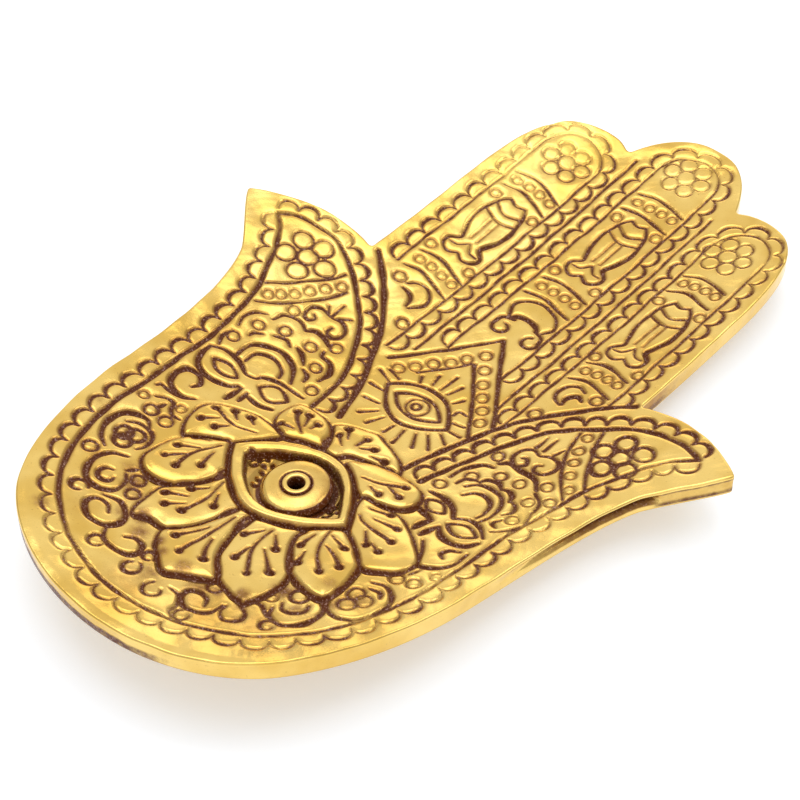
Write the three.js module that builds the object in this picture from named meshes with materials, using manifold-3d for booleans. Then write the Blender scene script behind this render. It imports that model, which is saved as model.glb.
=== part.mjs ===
// Hamsa hand incense holder: a cast metal hand, dished like a shallow tray, with a lotus in its palm.
// The eye in the lotus holds a turned iris plug, and the plug holds the sleeve for the incense stick.
// Millimetres, +Z up, fingers along +Y. The hand stands on z = 0 with the middle of its plan at x = y = 0.
import * as THREE from "three";
import { mergeVertices } from "three/addons/utils/BufferGeometryUtils.js";
import Module from "manifold-3d";

const wasm = await Module();
wasm.setup();

// Plan of the hand. OUT is across from the middle line, UP and DOWN are from a level line through the eye.
const FINGERTIP_UP = 115.8;
const HEEL_DOWN = 44.7;
const HEEL_CORNER_OUT = 28.9;
const HEEL_CORNER_DOWN = 32.5;
const PALM_OUT = 39.2;
const WAIST_OUT = 45.5;
const WAIST_UP = 33.6;
const THUMB_TIP_OUT = 55;
const THUMB_TIP_UP = 45.3;
const FINGERS_OUT = 31;
const THUMB_ROOT_UP = 52.4;
const SHOULDER_DROP = 35.8; // from the middle fingertip down to where the outer finger starts to round
const SIDE_TIP_OUT = 17;
const SIDE_TIP_DROP = 10.4;
const NOTCH_OUT = 12.9;
const NOTCH_DROP = 11.4;
const THUMB_SKEW = 1; // the right thumb stands this much higher than its mirror line, the left one lower
const FINGER_SKEW = 0.5; // the left fingertip stands this much higher, the right one lower

// Handles of the outline's curves, from the points above
const HEEL_ROUND = 14.4;
const HEEL_CORNER_RUN = 4.3;
const HEEL_CORNER_RISE = 6;
const PALM_LEAN = 1;
const PALM_ROUND_BELOW = 15.2;
const PALM_ROUND_ABOVE = 11;
const WAIST_RUN_BELOW = 4.2;
const WAIST_RISE_BELOW = 8.1;
const WAIST_RUN_ABOVE = 2.3;
const WAIST_RISE_ABOVE = 3.3;
const THUMB_RUN_BELOW = 2;
const THUMB_RISE_BELOW = 3.2;
const THUMB_RUN_ABOVE = 5.7;
const THUMB_RISE_ABOVE = 4.3;
const THUMB_ROOT_RUN = 10.6;
const THUMB_ROOT_RISE = 2.1;
const SHOULDER_ROUND = 17.3;
const SIDE_TIP_ROUND = 10.7;
const SIDE_TIP_TURN = 2;
const NOTCH_RUN_OUTSIDE = 1.8;
const NOTCH_RISE_OUTSIDE = 0.7;
const NOTCH_RUN_INSIDE = 2.7;
const NOTCH_RISE_INSIDE = 6.3;
const FINGERTIP_ROUND = 7;

// Dish: its low point lies between the thumbs, and its sides, fingers and heel rise from there.
const LOW_POINT_UP = 35;
const BOW_SPAN = 55;
const SIDE_BOW = 14.9; // rise at the bow span to each side, before it eases off
const SIDE_EASE = 5.2;
const BOW_REACH = 70;
const FINGER_BOW = 4.4; // rise at the bow reach towards the fingertips
const HEEL_BOW = 10; // rise at the bow reach towards the heel
const BOSS_RISE = 2.1; // swell of the palm under the lotus
const BOSS_SPREAD = 20;
const BOSS_DOWN = 3;
const PLATE = 4; // wall of the casting
const REST_CUT = 0.8; // depth ground off the lowest part of the underside, to stand on

// Place of the lotus, and its eye with lids standing proud of the palm
const LOTUS_OUT = 0.6; // the lotus sits this far to the right of the middle line
const LOTUS_DOWN = 0.7;
const EYE_HALF_LENGTH = 11;
const EYE_UP = 8.7;
const EYE_DOWN = 7.2;
const EYE_DEPTH = 1.9;
const LID_WIDTH = 2.4;
const LID_RISE = 1.2;

// Iris plug and stick sleeve
const IRIS_UP = 1; // the iris sits this far above the corners of the eye
const IRIS_HALF_WIDE = 6; // the head of the plug is a little taller than wide
const IRIS_HALF_TALL = 6.2;
const IRIS_EDGE = 1.4; // thickness of the plug's head at its rim
const IRIS_CROWN = 0.7; // rise of the head from its rim to the sleeve
const SHANK_RADIUS = 4.2;
const SHANK_SHY = 0.3; // the shank ends this far inside the underside
const STICK_RADIUS = 1.45;
const SLEEVE_WALL = 1.05;
const SLEEVE_LENGTH = 5;
const SLEEVE_PROUD = 0.2;
const FIT_GAP = 0.3;

// Lotus petals: rise above the palm, then for each kind its root, its tip and its half width
const FRONT_PETAL_RISE = 1.1;
const BACK_PETAL_RISE = 0.75;
const HEEL_PETAL = { root: [0, -8.5], tip: [0.5, -29], half: 6.4 };
const LOWER_PETAL = { root: [4.5, -7.5], tip: [13.2, -24.5], half: 5.6 };
const SLANT_PETAL = { root: [9.5, -3.5], tip: [20.5, -15.4], half: 5.6 };
const SIDE_PETAL = { root: [9, 2], tip: [25.8, 0.2], half: 6.2 };
const UPPER_PETAL = { root: [6, 7], tip: [16, 14.6], half: 5 };
const TOP_PETAL = { root: [0.6, 8], tip: [0.8, 21], half: 7 };
const PETAL_SPRING = 0.2; // share of the petal's length where its edge leaves the root
const PETAL_FULL = 0.8; // share of its length where its edge turns in to the tip
const PETAL_SWELL = 1.6; // how much wider its edge pulls there than at the root

// Main cut lines of the ornament. The sides were cut freehand, so each has its own stops.
const CUT_WIDTH = 0.95;
const CUT_DEPTH = 0.45;
const CUT_STEP = 5; // length of a long cut's straight stretches along its curve
const SMALL_CUT_STEP = 3; // the same for a fish or the small eye
const PALM_LINE = [
  [-47, 44],
  [-44, 41.3],
  [-40, 34.8],
  [-36.5, 26],
  [-34.6, 16],
  [-33.3, 0],
  [-31.5, -14],
  [-27, -24.5],
  [-20, -32],
  [-10, -36.7],
  [0, -38],
  [9, -36.4],
  [18, -32.3],
  [28, -22],
  [31, -15],
  [33.4, 4],
  [33.6, 13],
  [36, 27.2],
  [42.4, 42.2],
  [47.6, 46.5],
];
const LEFT_THUMB_LINE = [
  [-47, 44],
  [-44, 46.5],
  [-36, 47.9],
  [-28, 44.2],
  [-20, 37],
  [-14, 26.8],
  [-12, 17],
];
const RIGHT_THUMB_LINE = [
  [47.6, 46.5],
  [43.5, 48.1],
  [36.7, 48.4],
  [27.4, 43.8],
  [21.2, 38],
  [16.2, 27],
  [13.5, 16.5],
];
const LEFT_FINGER_LINE = [
  [-29.5, 52.4],
  [-22, 45.7],
  [-14, 34.5],
  [-7.2, 18.5],
];
const RIGHT_FINGER_LINE = [
  [30, 52.4],
  [23.1, 46.9],
  [16.4, 39.2],
  [9.2, 16.5],
];
const SCALLOP_OUT = 3; // reach of the scallops from the line that they follow
const SCALLOP_CUSP = 1.1;
const SCALLOP_PITCH = 4.3;
const SCALLOP_SPANS = 3; // straight stretches round each scallop
const SCALLOP_WIDTH = 0.7;
const FINGER_FIELDS = [
  { left: -26, right: -13.7, leftFoot: 53.5, rightFoot: 37.5, tipDrop: 14.1, round: 6.7 },
  { left: -6, right: 6.5, leftFoot: 45, rightFoot: 45, tipDrop: 4, round: 7.3 },
  { left: 14.5, right: 26.1, leftFoot: 36.5, rightFoot: 50.5, tipDrop: 15.4, round: 6.4 },
];
const FINGER_DIVIDERS = [
  [[-9.7, 40.5], [-10.4, 104]],
  [[10.8, 38], [10.3, 100]],
];
const GABLE_LINES = [
  [[-11.4, 35.6], [0.2, 52.8]],
  [[0.2, 52.8], [14, 34.2]],
  [[-5.5, 36.4], [0.3, 44.8]],
  [[0.3, 44.8], [11.8, 30.4]],
];
const SMALL_EYE = { x: 0.2, y: 30.2, half: 7.5, tall: 5 };
const BANDS = [
  { x: -19.5, low: 82, high: 86.2, half: 5.2 },
  { x: -19.3, low: 54, high: 58.8, half: 5.2 },
  { x: 0.4, low: 93, high: 98.1, half: 5.2 },
  { x: 0.4, low: 65, high: 70.1, half: 5.2 },
  { x: 20, low: 80.8, high: 85.6, half: 4.7 },
  { x: 20.2, low: 52.7, high: 57.8, half: 4.7 },
];
const FISHES = [
  [-19.6, 61.7],
  [0.4, 73.2],
  [20.4, 60.2],
];
const FISH_SIDE = [
  [0, 18],
  [1.7, 18.3],
  [3.8, 12.3],
  [2.3, 4.6],
  [3.8, 3],
  [1.8, 0.3],
  [0, 1.3],
];

// Fineness of the mesh
const GRID = 8;
const CURVE_STEPS = 8;
const TURN_STEPS = 40;

const GOLD = new THREE.MeshStandardMaterial({ color: 0xe6b64c, roughness: 0.34, metalness: 1 });
const PALE_GOLD = new THREE.MeshStandardMaterial({ color: 0xedc463, roughness: 0.28, metalness: 1 });

const MIDDLE_UP = (FINGERTIP_UP - HEEL_DOWN) / 2;
const TALL = PLATE + SIDE_BOW + HEEL_BOW + FINGER_BOW + BOSS_RISE + LID_RISE + EYE_DEPTH;

// Height of the dish above its low point, without and with the swell under the lotus.
function dish(x, y) {
  const side = x / BOW_SPAN;
  const along = (y - LOW_POINT_UP) / BOW_REACH;
  const bow = along > 0 ? FINGER_BOW : HEEL_BOW;
  return SIDE_BOW * side ** 2 - SIDE_EASE * side ** 4 + bow * along ** 2;
}

function palm(x, y) {
  const apart = (x ** 2 + (y + BOSS_DOWN) ** 2) / BOSS_SPREAD ** 2;
  return dish(x, y) + BOSS_RISE * Math.exp(-apart);
}

function solidFrom(geometry) {
  geometry.deleteAttribute("normal");
  geometry.deleteAttribute("uv");
  const merged = mergeVertices(geometry);
  const vertProperties = new Float32Array(merged.attributes.position.array);
  const triVerts = new Uint32Array(merged.index.array);
  return new wasm.Manifold(new wasm.Mesh({ numProp: 3, vertProperties, triVerts }));
}

function geometryFrom(solid) {
  const mesh = solid.getMesh();
  const geometry = new THREE.BufferGeometry();
  geometry.setAttribute("position", new THREE.BufferAttribute(mesh.vertProperties, 3));
  geometry.setIndex(new THREE.BufferAttribute(mesh.triVerts, 1));
  geometry.computeVertexNormals();
  return geometry;
}

// A plate that covers the whole plan, bounded above and below by two heights.
function plate(topAt, bottomAt) {
  const width = 2 * Math.max(THUMB_TIP_OUT, WAIST_OUT, PALM_OUT, FINGERS_OUT) + 2 * GRID;
  const length = FINGERTIP_UP + HEEL_DOWN + 2 * GRID;
  const box = new THREE.BoxGeometry(width, length, 1, Math.ceil(width / GRID), Math.ceil(length / GRID), 1);
  box.translate(0, MIDDLE_UP, 0);
  const place = box.attributes.position;
  for (let i = 0; i < place.count; i++) {
    const height = place.getZ(i) > 0 ? topAt : bottomAt;
    place.setZ(i, height(place.getX(i), place.getY(i)));
  }
  return solidFrom(box);
}

// An upright prism over a plan shape, from a floor height to above everything.
function prism(shape, floor) {
  const geometry = new THREE.ExtrudeGeometry(shape, {
    depth: 2 * TALL - floor,
    bevelEnabled: false,
    curveSegments: CURVE_STEPS,
  });
  geometry.translate(0, 0, floor);
  return solidFrom(geometry);
}

// What stands proud of the palm inside a plan shape.
function relief(shape, rise) {
  const layer = plate(
    (x, y) => palm(x, y) + rise,
    (x, y) => dish(x, y) - PLATE / 2,
  );
  return layer.intersect(prism(shape, -TALL));
}

// One half of the outline as curves from the heel to the middle fingertip; side is 1 right, -1 left.
function halfOutline(side) {
  const thumb = THUMB_SKEW * side;
  const finger = -FINGER_SKEW * side;
  const notchUp = FINGERTIP_UP - NOTCH_DROP;
  const shoulderUp = FINGERTIP_UP - SHOULDER_DROP;
  const heel = [0, -HEEL_DOWN];
  const corner = [HEEL_CORNER_OUT, -HEEL_CORNER_DOWN];
  const palmSide = [PALM_OUT, 0];
  const waist = [WAIST_OUT, WAIST_UP + thumb / 2];
  const thumbTip = [THUMB_TIP_OUT, THUMB_TIP_UP + thumb];
  const thumbRoot = [FINGERS_OUT, THUMB_ROOT_UP + thumb / 2];
  const shoulder = [FINGERS_OUT, shoulderUp];
  const sideTip = [SIDE_TIP_OUT, FINGERTIP_UP - SIDE_TIP_DROP + finger];
  const notch = [NOTCH_OUT, notchUp + finger / 2];
  const fingertip = [0, FINGERTIP_UP];
  return [
    [heel, [HEEL_ROUND, 0], [-HEEL_CORNER_RUN, -HEEL_CORNER_RISE], corner],
    [corner, [HEEL_CORNER_RUN, HEEL_CORNER_RISE], [-PALM_LEAN, -PALM_ROUND_BELOW], palmSide],
    [palmSide, [PALM_LEAN, PALM_ROUND_ABOVE], [-WAIST_RUN_BELOW, -WAIST_RISE_BELOW], waist],
    [waist, [WAIST_RUN_ABOVE, WAIST_RISE_ABOVE], [-THUMB_RUN_BELOW, -THUMB_RISE_BELOW], thumbTip],
    [thumbTip, [-THUMB_RUN_ABOVE, THUMB_RISE_ABOVE], [THUMB_ROOT_RUN, THUMB_ROOT_RISE], thumbRoot],
    [thumbRoot, [0, 0], [0, 0], shoulder],
    [shoulder, [0, SHOULDER_ROUND], [SIDE_TIP_ROUND, 0], sideTip],
    [sideTip, [-SIDE_TIP_TURN, 0], [NOTCH_RUN_OUTSIDE, NOTCH_RISE_OUTSIDE], notch],
    [notch, [-NOTCH_RUN_INSIDE, NOTCH_RISE_INSIDE], [FINGERTIP_ROUND, 0], fingertip],
  ];
}

function handShape() {
  const shape = new THREE.Shape();
  shape.moveTo(0, -HEEL_DOWN);
  for (const [from, leave, arrive, to] of halfOutline(1)) {
    shape.bezierCurveTo(
      from[0] + leave[0],
      from[1] + leave[1],
      to[0] + arrive[0],
      to[1] + arrive[1],
      to[0],
      to[1],
    );
  }
  for (const [from, leave, arrive, to] of halfOutline(-1).reverse()) {
    shape.bezierCurveTo(
      -to[0] - arrive[0],
      to[1] + arrive[1],
      -from[0] - leave[0],
      from[1] + leave[1],
      -from[0],
      from[1],
    );
  }
  return shape;
}

// An almond round the eye, with its corners at half its length to each side.
function almondShape(halfLength, up, down) {
  const bulge = 4 / 3; // a cubic curve reaches three quarters of the way to its handles
  const low = -LOTUS_DOWN - down * bulge;
  const high = -LOTUS_DOWN + up * bulge;
  const [left, right] = [LOTUS_OUT - halfLength, LOTUS_OUT + halfLength];
  const [leftHandle, rightHandle] = [LOTUS_OUT - halfLength / 2, LOTUS_OUT + halfLength / 2];
  const shape = new THREE.Shape();
  shape.moveTo(left, -LOTUS_DOWN);
  shape.bezierCurveTo(leftHandle, low, rightHandle, low, right, -LOTUS_DOWN);
  shape.bezierCurveTo(rightHandle, high, leftHandle, high, left, -LOTUS_DOWN);
  return shape;
}

// A petal of the lotus with a pointed tip, fullest towards it; side is 1, or -1 for its mirror image.
function petalShape({ root, tip, half }, side) {
  const [rootX, rootY] = [LOTUS_OUT + side * root[0], root[1] - LOTUS_DOWN];
  const [tipX, tipY] = [LOTUS_OUT + side * tip[0], tip[1] - LOTUS_DOWN];
  const [alongX, alongY] = [tipX - rootX, tipY - rootY];
  const long = Math.hypot(alongX, alongY);
  const [acrossX, acrossY] = [(-alongY / long) * half, (alongX / long) * half];
  const bow = (turn) => [
    rootX + turn * acrossX + alongX * PETAL_SPRING,
    rootY + turn * acrossY + alongY * PETAL_SPRING,
    rootX + turn * acrossX * PETAL_SWELL + alongX * PETAL_FULL,
    rootY + turn * acrossY * PETAL_SWELL + alongY * PETAL_FULL,
  ];
  const shape = new THREE.Shape();
  const [ax, ay, bx, by] = bow(-1);
  const [cx, cy, dx, dy] = bow(1);
  shape.moveTo(rootX, rootY);
  shape.bezierCurveTo(ax, ay, bx, by, tipX, tipY);
  shape.bezierCurveTo(dx, dy, cx, cy, rootX, rootY);
  return shape;
}

// A smooth line through its stops, in straight stretches of about the given length.
function smooth(stops, step) {
  const line = new THREE.SplineCurve(stops.map(([x, y]) => new THREE.Vector2(x, y)));
  return line.getSpacedPoints(Math.max(2, Math.round(line.getLength() / step)));
}

// Directions square to a line at each of its points, to its left.
function squares(line) {
  return line.map((_, i) => {
    const before = line[Math.max(i - 1, 0)];
    const after = line[Math.min(i + 1, line.length - 1)];
    const along = after.clone().sub(before).normalize();
    return new THREE.Vector2(-along.y, along.x);
  });
}

// The strip that a cut takes out of the plan, along a line.
function strip(line, width) {
  const square = squares(line);
  const beside = (side) => line.map((p, i) => p.clone().addScaledVector(square[i], (side * width) / 2));
  return new THREE.Shape([...beside(-1), ...beside(1).reverse()]);
}

// Scallops along a line, to its left (side 1) or right (side -1), as one line.
function scallops(line, side) {
  const path = new THREE.CurvePath();
  line.slice(1).forEach((to, i) => path.add(new THREE.LineCurve(line[i], to)));
  const count = Math.round(path.getLength() / SCALLOP_PITCH);
  const base = path.getSpacedPoints(count * SCALLOP_SPANS);
  const square = squares(base);
  return base.map((p, i) => {
    const share = (i % SCALLOP_SPANS) / SCALLOP_SPANS;
    const swell = Math.sqrt(1 - (2 * share - 1) ** 2);
    const reach = SCALLOP_CUSP + (SCALLOP_OUT - SCALLOP_CUSP) * swell;
    return p.clone().addScaledVector(square[i], side * reach);
  });
}

// The line round a finger's field: up one side, round the tip and down the other.
function fieldLine({ left, right, leftFoot, rightFoot, tipDrop, round }) {
  const line = new THREE.Path();
  line.moveTo(left, leftFoot);
  line.lineTo(left, FINGERTIP_UP - tipDrop - round);
  line.absellipse(
    (left + right) / 2,
    FINGERTIP_UP - tipDrop - round,
    (right - left) / 2,
    round,
    Math.PI,
    0,
    true,
  );
  line.lineTo(right, rightFoot);
  return line.getPoints(CURVE_STEPS);
}

// Every main cut line as a strip of the plan.
function cutStrips() {
  const palmLine = smooth(PALM_LINE, CUT_STEP);
  const leftThumb = smooth(LEFT_THUMB_LINE, CUT_STEP);
  const rightThumb = smooth(RIGHT_THUMB_LINE, CUT_STEP);
  const { x, y, half, tall } = SMALL_EYE;
  const straight = [...FINGER_DIVIDERS, ...GABLE_LINES];
  for (const band of BANDS) {
    for (const height of [band.low, band.high]) {
      straight.push([[band.x - band.half, height], [band.x + band.half, height]]);
    }
  }
  const wide = [
    palmLine,
    leftThumb,
    rightThumb,
    smooth(LEFT_FINGER_LINE, CUT_STEP),
    smooth(RIGHT_FINGER_LINE, CUT_STEP),
    ...FINGER_FIELDS.map(fieldLine),
    ...straight.map((ends) => ends.map(([a, b]) => new THREE.Vector2(a, b))),
  ];
  for (const side of [1, -1]) {
    wide.push(smooth([[x - half, y], [x, y + side * tall], [x + half, y]], SMALL_CUT_STEP));
    for (const [fishX, fishY] of FISHES) {
      const edge = FISH_SIDE.map(([out, up]) => [fishX + side * out, fishY + up]);
      wide.push(smooth(edge, SMALL_CUT_STEP));
    }
  }
  const narrow = [scallops(palmLine, -1), scallops(leftThumb, 1), scallops(rightThumb, -1)];
  return [
    ...wide.map((line) => strip(line, CUT_WIDTH)),
    ...narrow.map((line) => strip(line, SCALLOP_WIDTH)),
  ];
}

function turned(profile) {
  const points = [...profile, profile[0]].map(([r, z]) => new THREE.Vector2(r, z));
  const geometry = new THREE.LatheGeometry(points, TURN_STEPS);
  geometry.rotateX(Math.PI / 2);
  return geometry;
}

const irisPlace = [LOTUS_OUT, IRIS_UP - LOTUS_DOWN];
const eyeFloor = palm(...irisPlace) - EYE_DEPTH;
const underside = dish(...irisPlace) - PLATE;
const headUnder = eyeFloor + FIT_GAP;
const crownTop = headUnder + IRIS_EDGE + IRIS_CROWN;
const sleeveRadius = STICK_RADIUS + SLEEVE_WALL;
const sleeveTop = crownTop + SLEEVE_PROUD;
const sleeveFoot = sleeveTop - SLEEVE_LENGTH;

function handDish() {
  let hand = plate(palm, (x, y) => dish(x, y) - PLATE).intersect(prism(handShape(), -TALL));
  const carved = plate(
    () => TALL,
    (x, y) => palm(x, y) - CUT_DEPTH,
  );
  for (const shape of cutStrips()) {
    hand = hand.subtract(carved.intersect(prism(shape, -TALL)));
  }
  const lids = almondShape(EYE_HALF_LENGTH + LID_WIDTH, EYE_UP + LID_WIDTH, EYE_DOWN + LID_WIDTH);
  hand = hand.add(relief(lids, LID_RISE));
  for (const side of [1, -1]) {
    for (const petal of [LOWER_PETAL, SIDE_PETAL]) {
      hand = hand.add(relief(petalShape(petal, side), BACK_PETAL_RISE));
    }
    for (const petal of [SLANT_PETAL, UPPER_PETAL]) {
      hand = hand.add(relief(petalShape(petal, side), FRONT_PETAL_RISE));
    }
  }
  hand = hand.add(relief(petalShape(HEEL_PETAL, 1), FRONT_PETAL_RISE));
  hand = hand.add(relief(petalShape(TOP_PETAL, 1), BACK_PETAL_RISE));

  const bore = new THREE.CylinderGeometry(
    SHANK_RADIUS + FIT_GAP,
    SHANK_RADIUS + FIT_GAP,
    2 * TALL,
    TURN_STEPS,
  );
  bore.rotateX(Math.PI / 2);
  bore.translate(...irisPlace, 0);
  const floor = new THREE.BoxGeometry(4 * THUMB_TIP_OUT, 4 * FINGERTIP_UP, TALL);
  floor.translate(0, MIDDLE_UP, REST_CUT - PLATE - TALL / 2);
  return hand
    .subtract(prism(almondShape(EYE_HALF_LENGTH, EYE_UP, EYE_DOWN), eyeFloor))
    .subtract(solidFrom(bore))
    .subtract(solidFrom(floor));
}

function irisPlug() {
  const socket = sleeveRadius + FIT_GAP;
  const ledge = sleeveFoot - FIT_GAP;
  const foot = underside + SHANK_SHY;
  const plug = turned([
    [STICK_RADIUS, foot],
    [SHANK_RADIUS, foot],
    [SHANK_RADIUS, headUnder],
    [IRIS_HALF_WIDE, headUnder],
    [IRIS_HALF_WIDE, headUnder + IRIS_EDGE],
    [(IRIS_HALF_WIDE + socket) / 2, crownTop - IRIS_CROWN / 4],
    [socket, crownTop],
    [socket, ledge],
    [STICK_RADIUS, ledge],
  ]);
  const place = plug.attributes.position;
  for (let i = 0; i < place.count; i++) {
    const beyondShank = Math.hypot(place.getX(i), place.getY(i)) - SHANK_RADIUS;
    const share = THREE.MathUtils.clamp(beyondShank / (IRIS_HALF_WIDE - SHANK_RADIUS), 0, 1);
    place.setY(i, place.getY(i) * THREE.MathUtils.lerp(1, IRIS_HALF_TALL / IRIS_HALF_WIDE, share));
  }
  return plug;
}

function stickSleeve() {
  return turned([
    [STICK_RADIUS, sleeveFoot],
    [sleeveRadius, sleeveFoot],
    [sleeveRadius, sleeveTop],
    [STICK_RADIUS, sleeveTop],
  ]);
}

function named(name, geometry, material) {
  const mesh = new THREE.Mesh(geometry, material);
  mesh.name = name;
  return mesh;
}

const holder = new THREE.Group();
holder.position.set(0, -MIDDLE_UP, PLATE - REST_CUT);
holder.add(named("hand_dish", geometryFrom(handDish()), GOLD));
for (const [name, geometry, material] of [
  ["iris_plug", irisPlug(), GOLD],
  ["stick_sleeve", stickSleeve(), PALE_GOLD],
]) {
  const mesh = named(name, geometry, material);
  mesh.position.set(...irisPlace, 0);
  holder.add(mesh);
}

export default holder;
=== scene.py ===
# %% [markdown]
# # A hamsa hand that holds an incense stick
# The holder is one metal casting in the shape of an open hand, dished like a shallow tray. Its upper
# face is covered with cut ornament that was stained brown and then polished, so the lines stay dark
# while the metal between them shines like gold. A turned iris sits in the eye of the lotus, with a
# sleeve for the stick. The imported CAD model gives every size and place, so it is loaded first and never
# moved.

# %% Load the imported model
import math
from itertools import chain

import bpy
import numpy as np
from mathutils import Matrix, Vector


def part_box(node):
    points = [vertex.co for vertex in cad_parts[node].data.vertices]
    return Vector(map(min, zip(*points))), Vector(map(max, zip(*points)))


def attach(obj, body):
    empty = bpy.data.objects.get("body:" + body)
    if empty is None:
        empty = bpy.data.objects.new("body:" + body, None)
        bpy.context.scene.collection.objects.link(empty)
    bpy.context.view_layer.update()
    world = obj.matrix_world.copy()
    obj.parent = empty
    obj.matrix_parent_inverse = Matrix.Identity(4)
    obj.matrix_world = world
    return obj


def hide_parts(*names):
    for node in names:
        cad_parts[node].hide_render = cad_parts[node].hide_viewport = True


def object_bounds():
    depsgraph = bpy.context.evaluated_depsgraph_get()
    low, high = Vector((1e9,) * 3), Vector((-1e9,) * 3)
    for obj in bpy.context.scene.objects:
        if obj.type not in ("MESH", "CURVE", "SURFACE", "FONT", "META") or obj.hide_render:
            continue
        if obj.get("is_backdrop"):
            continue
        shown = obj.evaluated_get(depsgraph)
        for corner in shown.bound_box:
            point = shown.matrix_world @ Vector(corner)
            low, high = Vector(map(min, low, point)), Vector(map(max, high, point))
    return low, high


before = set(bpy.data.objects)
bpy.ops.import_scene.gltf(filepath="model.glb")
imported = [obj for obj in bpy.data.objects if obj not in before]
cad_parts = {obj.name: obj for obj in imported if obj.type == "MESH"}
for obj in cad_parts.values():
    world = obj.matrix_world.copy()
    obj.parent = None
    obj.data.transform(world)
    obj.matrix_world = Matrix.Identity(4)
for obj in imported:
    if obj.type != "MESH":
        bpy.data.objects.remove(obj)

MM = 0.001  # one millimetre in Blender's metres
cad_low, cad_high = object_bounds()
print("nodes:", sorted(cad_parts), "size in mm:", [round(n / MM, 1) for n in cad_high - cad_low])

# %% [markdown]
# ## The gauge that everything is drawn on
# A pattern maker would draw the ornament flat, measured from the middle of the eye, and then carve it
# into the dished blank. The same is done here: x goes across the hand, y up towards the fingers, both
# in millimetres from the eye, and the dish is a height over that drawing. It could all be drawn in the
# CAD's frame, but then each number would hold an offset. So the points are moved to the CAD's place
# only at the end.

# %% Gauge and dish
FINGERTIP_UP = 115.8  # from the middle of the eye to the tip of the middle finger
WALL = 4.0  # thickness of the casting
REST_CUT = 0.8  # ground off the lowest part of the underside
SIDE_SPAN, SIDE_BOW, SIDE_EASE = 55.0, 14.9, 5.2  # how the dish rises to the thumbs
LOW_POINT_UP, BOW_REACH = 35.0, 70.0  # its lowest point, and the length over which it bows up from there
FINGER_BOW, HEEL_BOW = 4.4, 10.0  # how much it rises over that length
BOSS_RISE, BOSS_SPREAD, BOSS_DOWN = 2.1, 20.0, 3.0  # the swell under the lotus
EYE_PLACE = np.array([0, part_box("hand_dish")[1].y / MM - FINGERTIP_UP, WALL - REST_CUT])


def dish(x, y):
    """Height of the dish above its lowest point."""
    side = x / SIDE_SPAN
    reach = (y - LOW_POINT_UP) / BOW_REACH
    bow = np.where(reach > 0, FINGER_BOW, HEEL_BOW)
    return SIDE_BOW * side**2 - SIDE_EASE * side**4 + bow * reach**2


def palm(x, y):
    """The dish with the swell under the lotus."""
    return dish(x, y) + BOSS_RISE * np.exp(-(x**2 + (y + BOSS_DOWN) ** 2) / BOSS_SPREAD**2)


def underside(x, y):
    """The casting's lower face, ground flat where it stands."""
    return np.maximum(dish(x, y) - WALL, REST_CUT - WALL)


print("the middle of the eye is at", EYE_PLACE.round(2), "mm in the CAD frame")

# %% [markdown]
# ## Lines to draw with
# Four kinds of line make most of the ornament: a smooth curve through a few points, a spiral, an arc of
# a circle, and an almond. Each gives a row of close points. Blender's own curve objects could draw them
# too, but plain rows of points are easier to carve with, because a distance to a row of points is quick
# to work out.

# %% Curves, spirals, arcs and almonds
STEP = 0.4  # spacing of the points on a curve
FULLNESS = 0.85  # below 1, an almond is fuller towards its corners


def curve(stops, closed=False):
    """A smooth line through all the stops."""
    stops = np.asarray(stops, float)
    if closed:
        guide = np.concatenate([stops[-1:], stops, stops[:2]])
    else:
        guide = np.concatenate([2 * stops[:1] - stops[1:2], stops, 2 * stops[-1:] - stops[-2:-1]])
    parts = []
    for a, b, c, d in zip(guide[:-3], guide[1:-2], guide[2:-1], guide[3:]):
        count = max(2, int(np.linalg.norm(c - b) / STEP) + 1)
        t = np.linspace(0, 1, count, endpoint=False)[:, None]
        bend = 2 * b + (c - a) * t + (2 * a - 5 * b + 4 * c - d) * t**2 + (3 * b - a - 3 * c + d) * t**3
        parts.append(bend / 2)
    return np.concatenate([*parts, guide[-2:-1]])


def spiral(x, y, outer, inner, start, turned):
    """From an outer to an inner radius, starting at an angle in degrees and turning by so many."""
    count = max(8, int(abs(math.radians(turned)) * max(outer, inner) / STEP))
    angle = np.radians(np.linspace(start, start + turned, count))
    radius = np.linspace(outer, inner, count)
    return np.stack([x + radius * np.cos(angle), y + radius * np.sin(angle)], 1)


def arc(x, y, radius, start=0, turned=360):
    """A circle, or a part of one."""
    return spiral(x, y, radius, radius, start, turned)


def almond(left, right, up, down):
    """A closed eye shape between two corners, bulging up and down from the line that joins them."""
    left, right = np.asarray(left, float), np.asarray(right, float)
    chord = right - left
    count = int(2 * np.linalg.norm(chord) / STEP)
    t = np.linspace(0, 1, count)[:, None]
    square = np.array([-chord[1], chord[0]]) / np.linalg.norm(chord)
    lower = left + t * chord - down * square * np.sin(np.pi * t) ** FULLNESS
    upper = right - t * chord + up * square * np.sin(np.pi * t) ** FULLNESS
    return np.concatenate([lower, upper[1:]])


print("a full turn of 2 mm radius has", len(arc(0, 0, 2)), "points")

# %% [markdown]
# ## The outline of the hand
# The edge could be traced all the way round. Here it is drawn as one half from the heel to the middle
# fingertip, and the other half is its mirror image, except that the two thumbs and the outer fingertips
# lie up to two millimetres higher or lower, as on a hand-cut pattern. Corners are softened by averaging
# neighbouring points, as filing does on the casting.

# %% Edge of the hand
EDGE_STEP = 0.25
CORNER_SOFTENING = 3  # neighbours on each side that a point is averaged with
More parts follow.
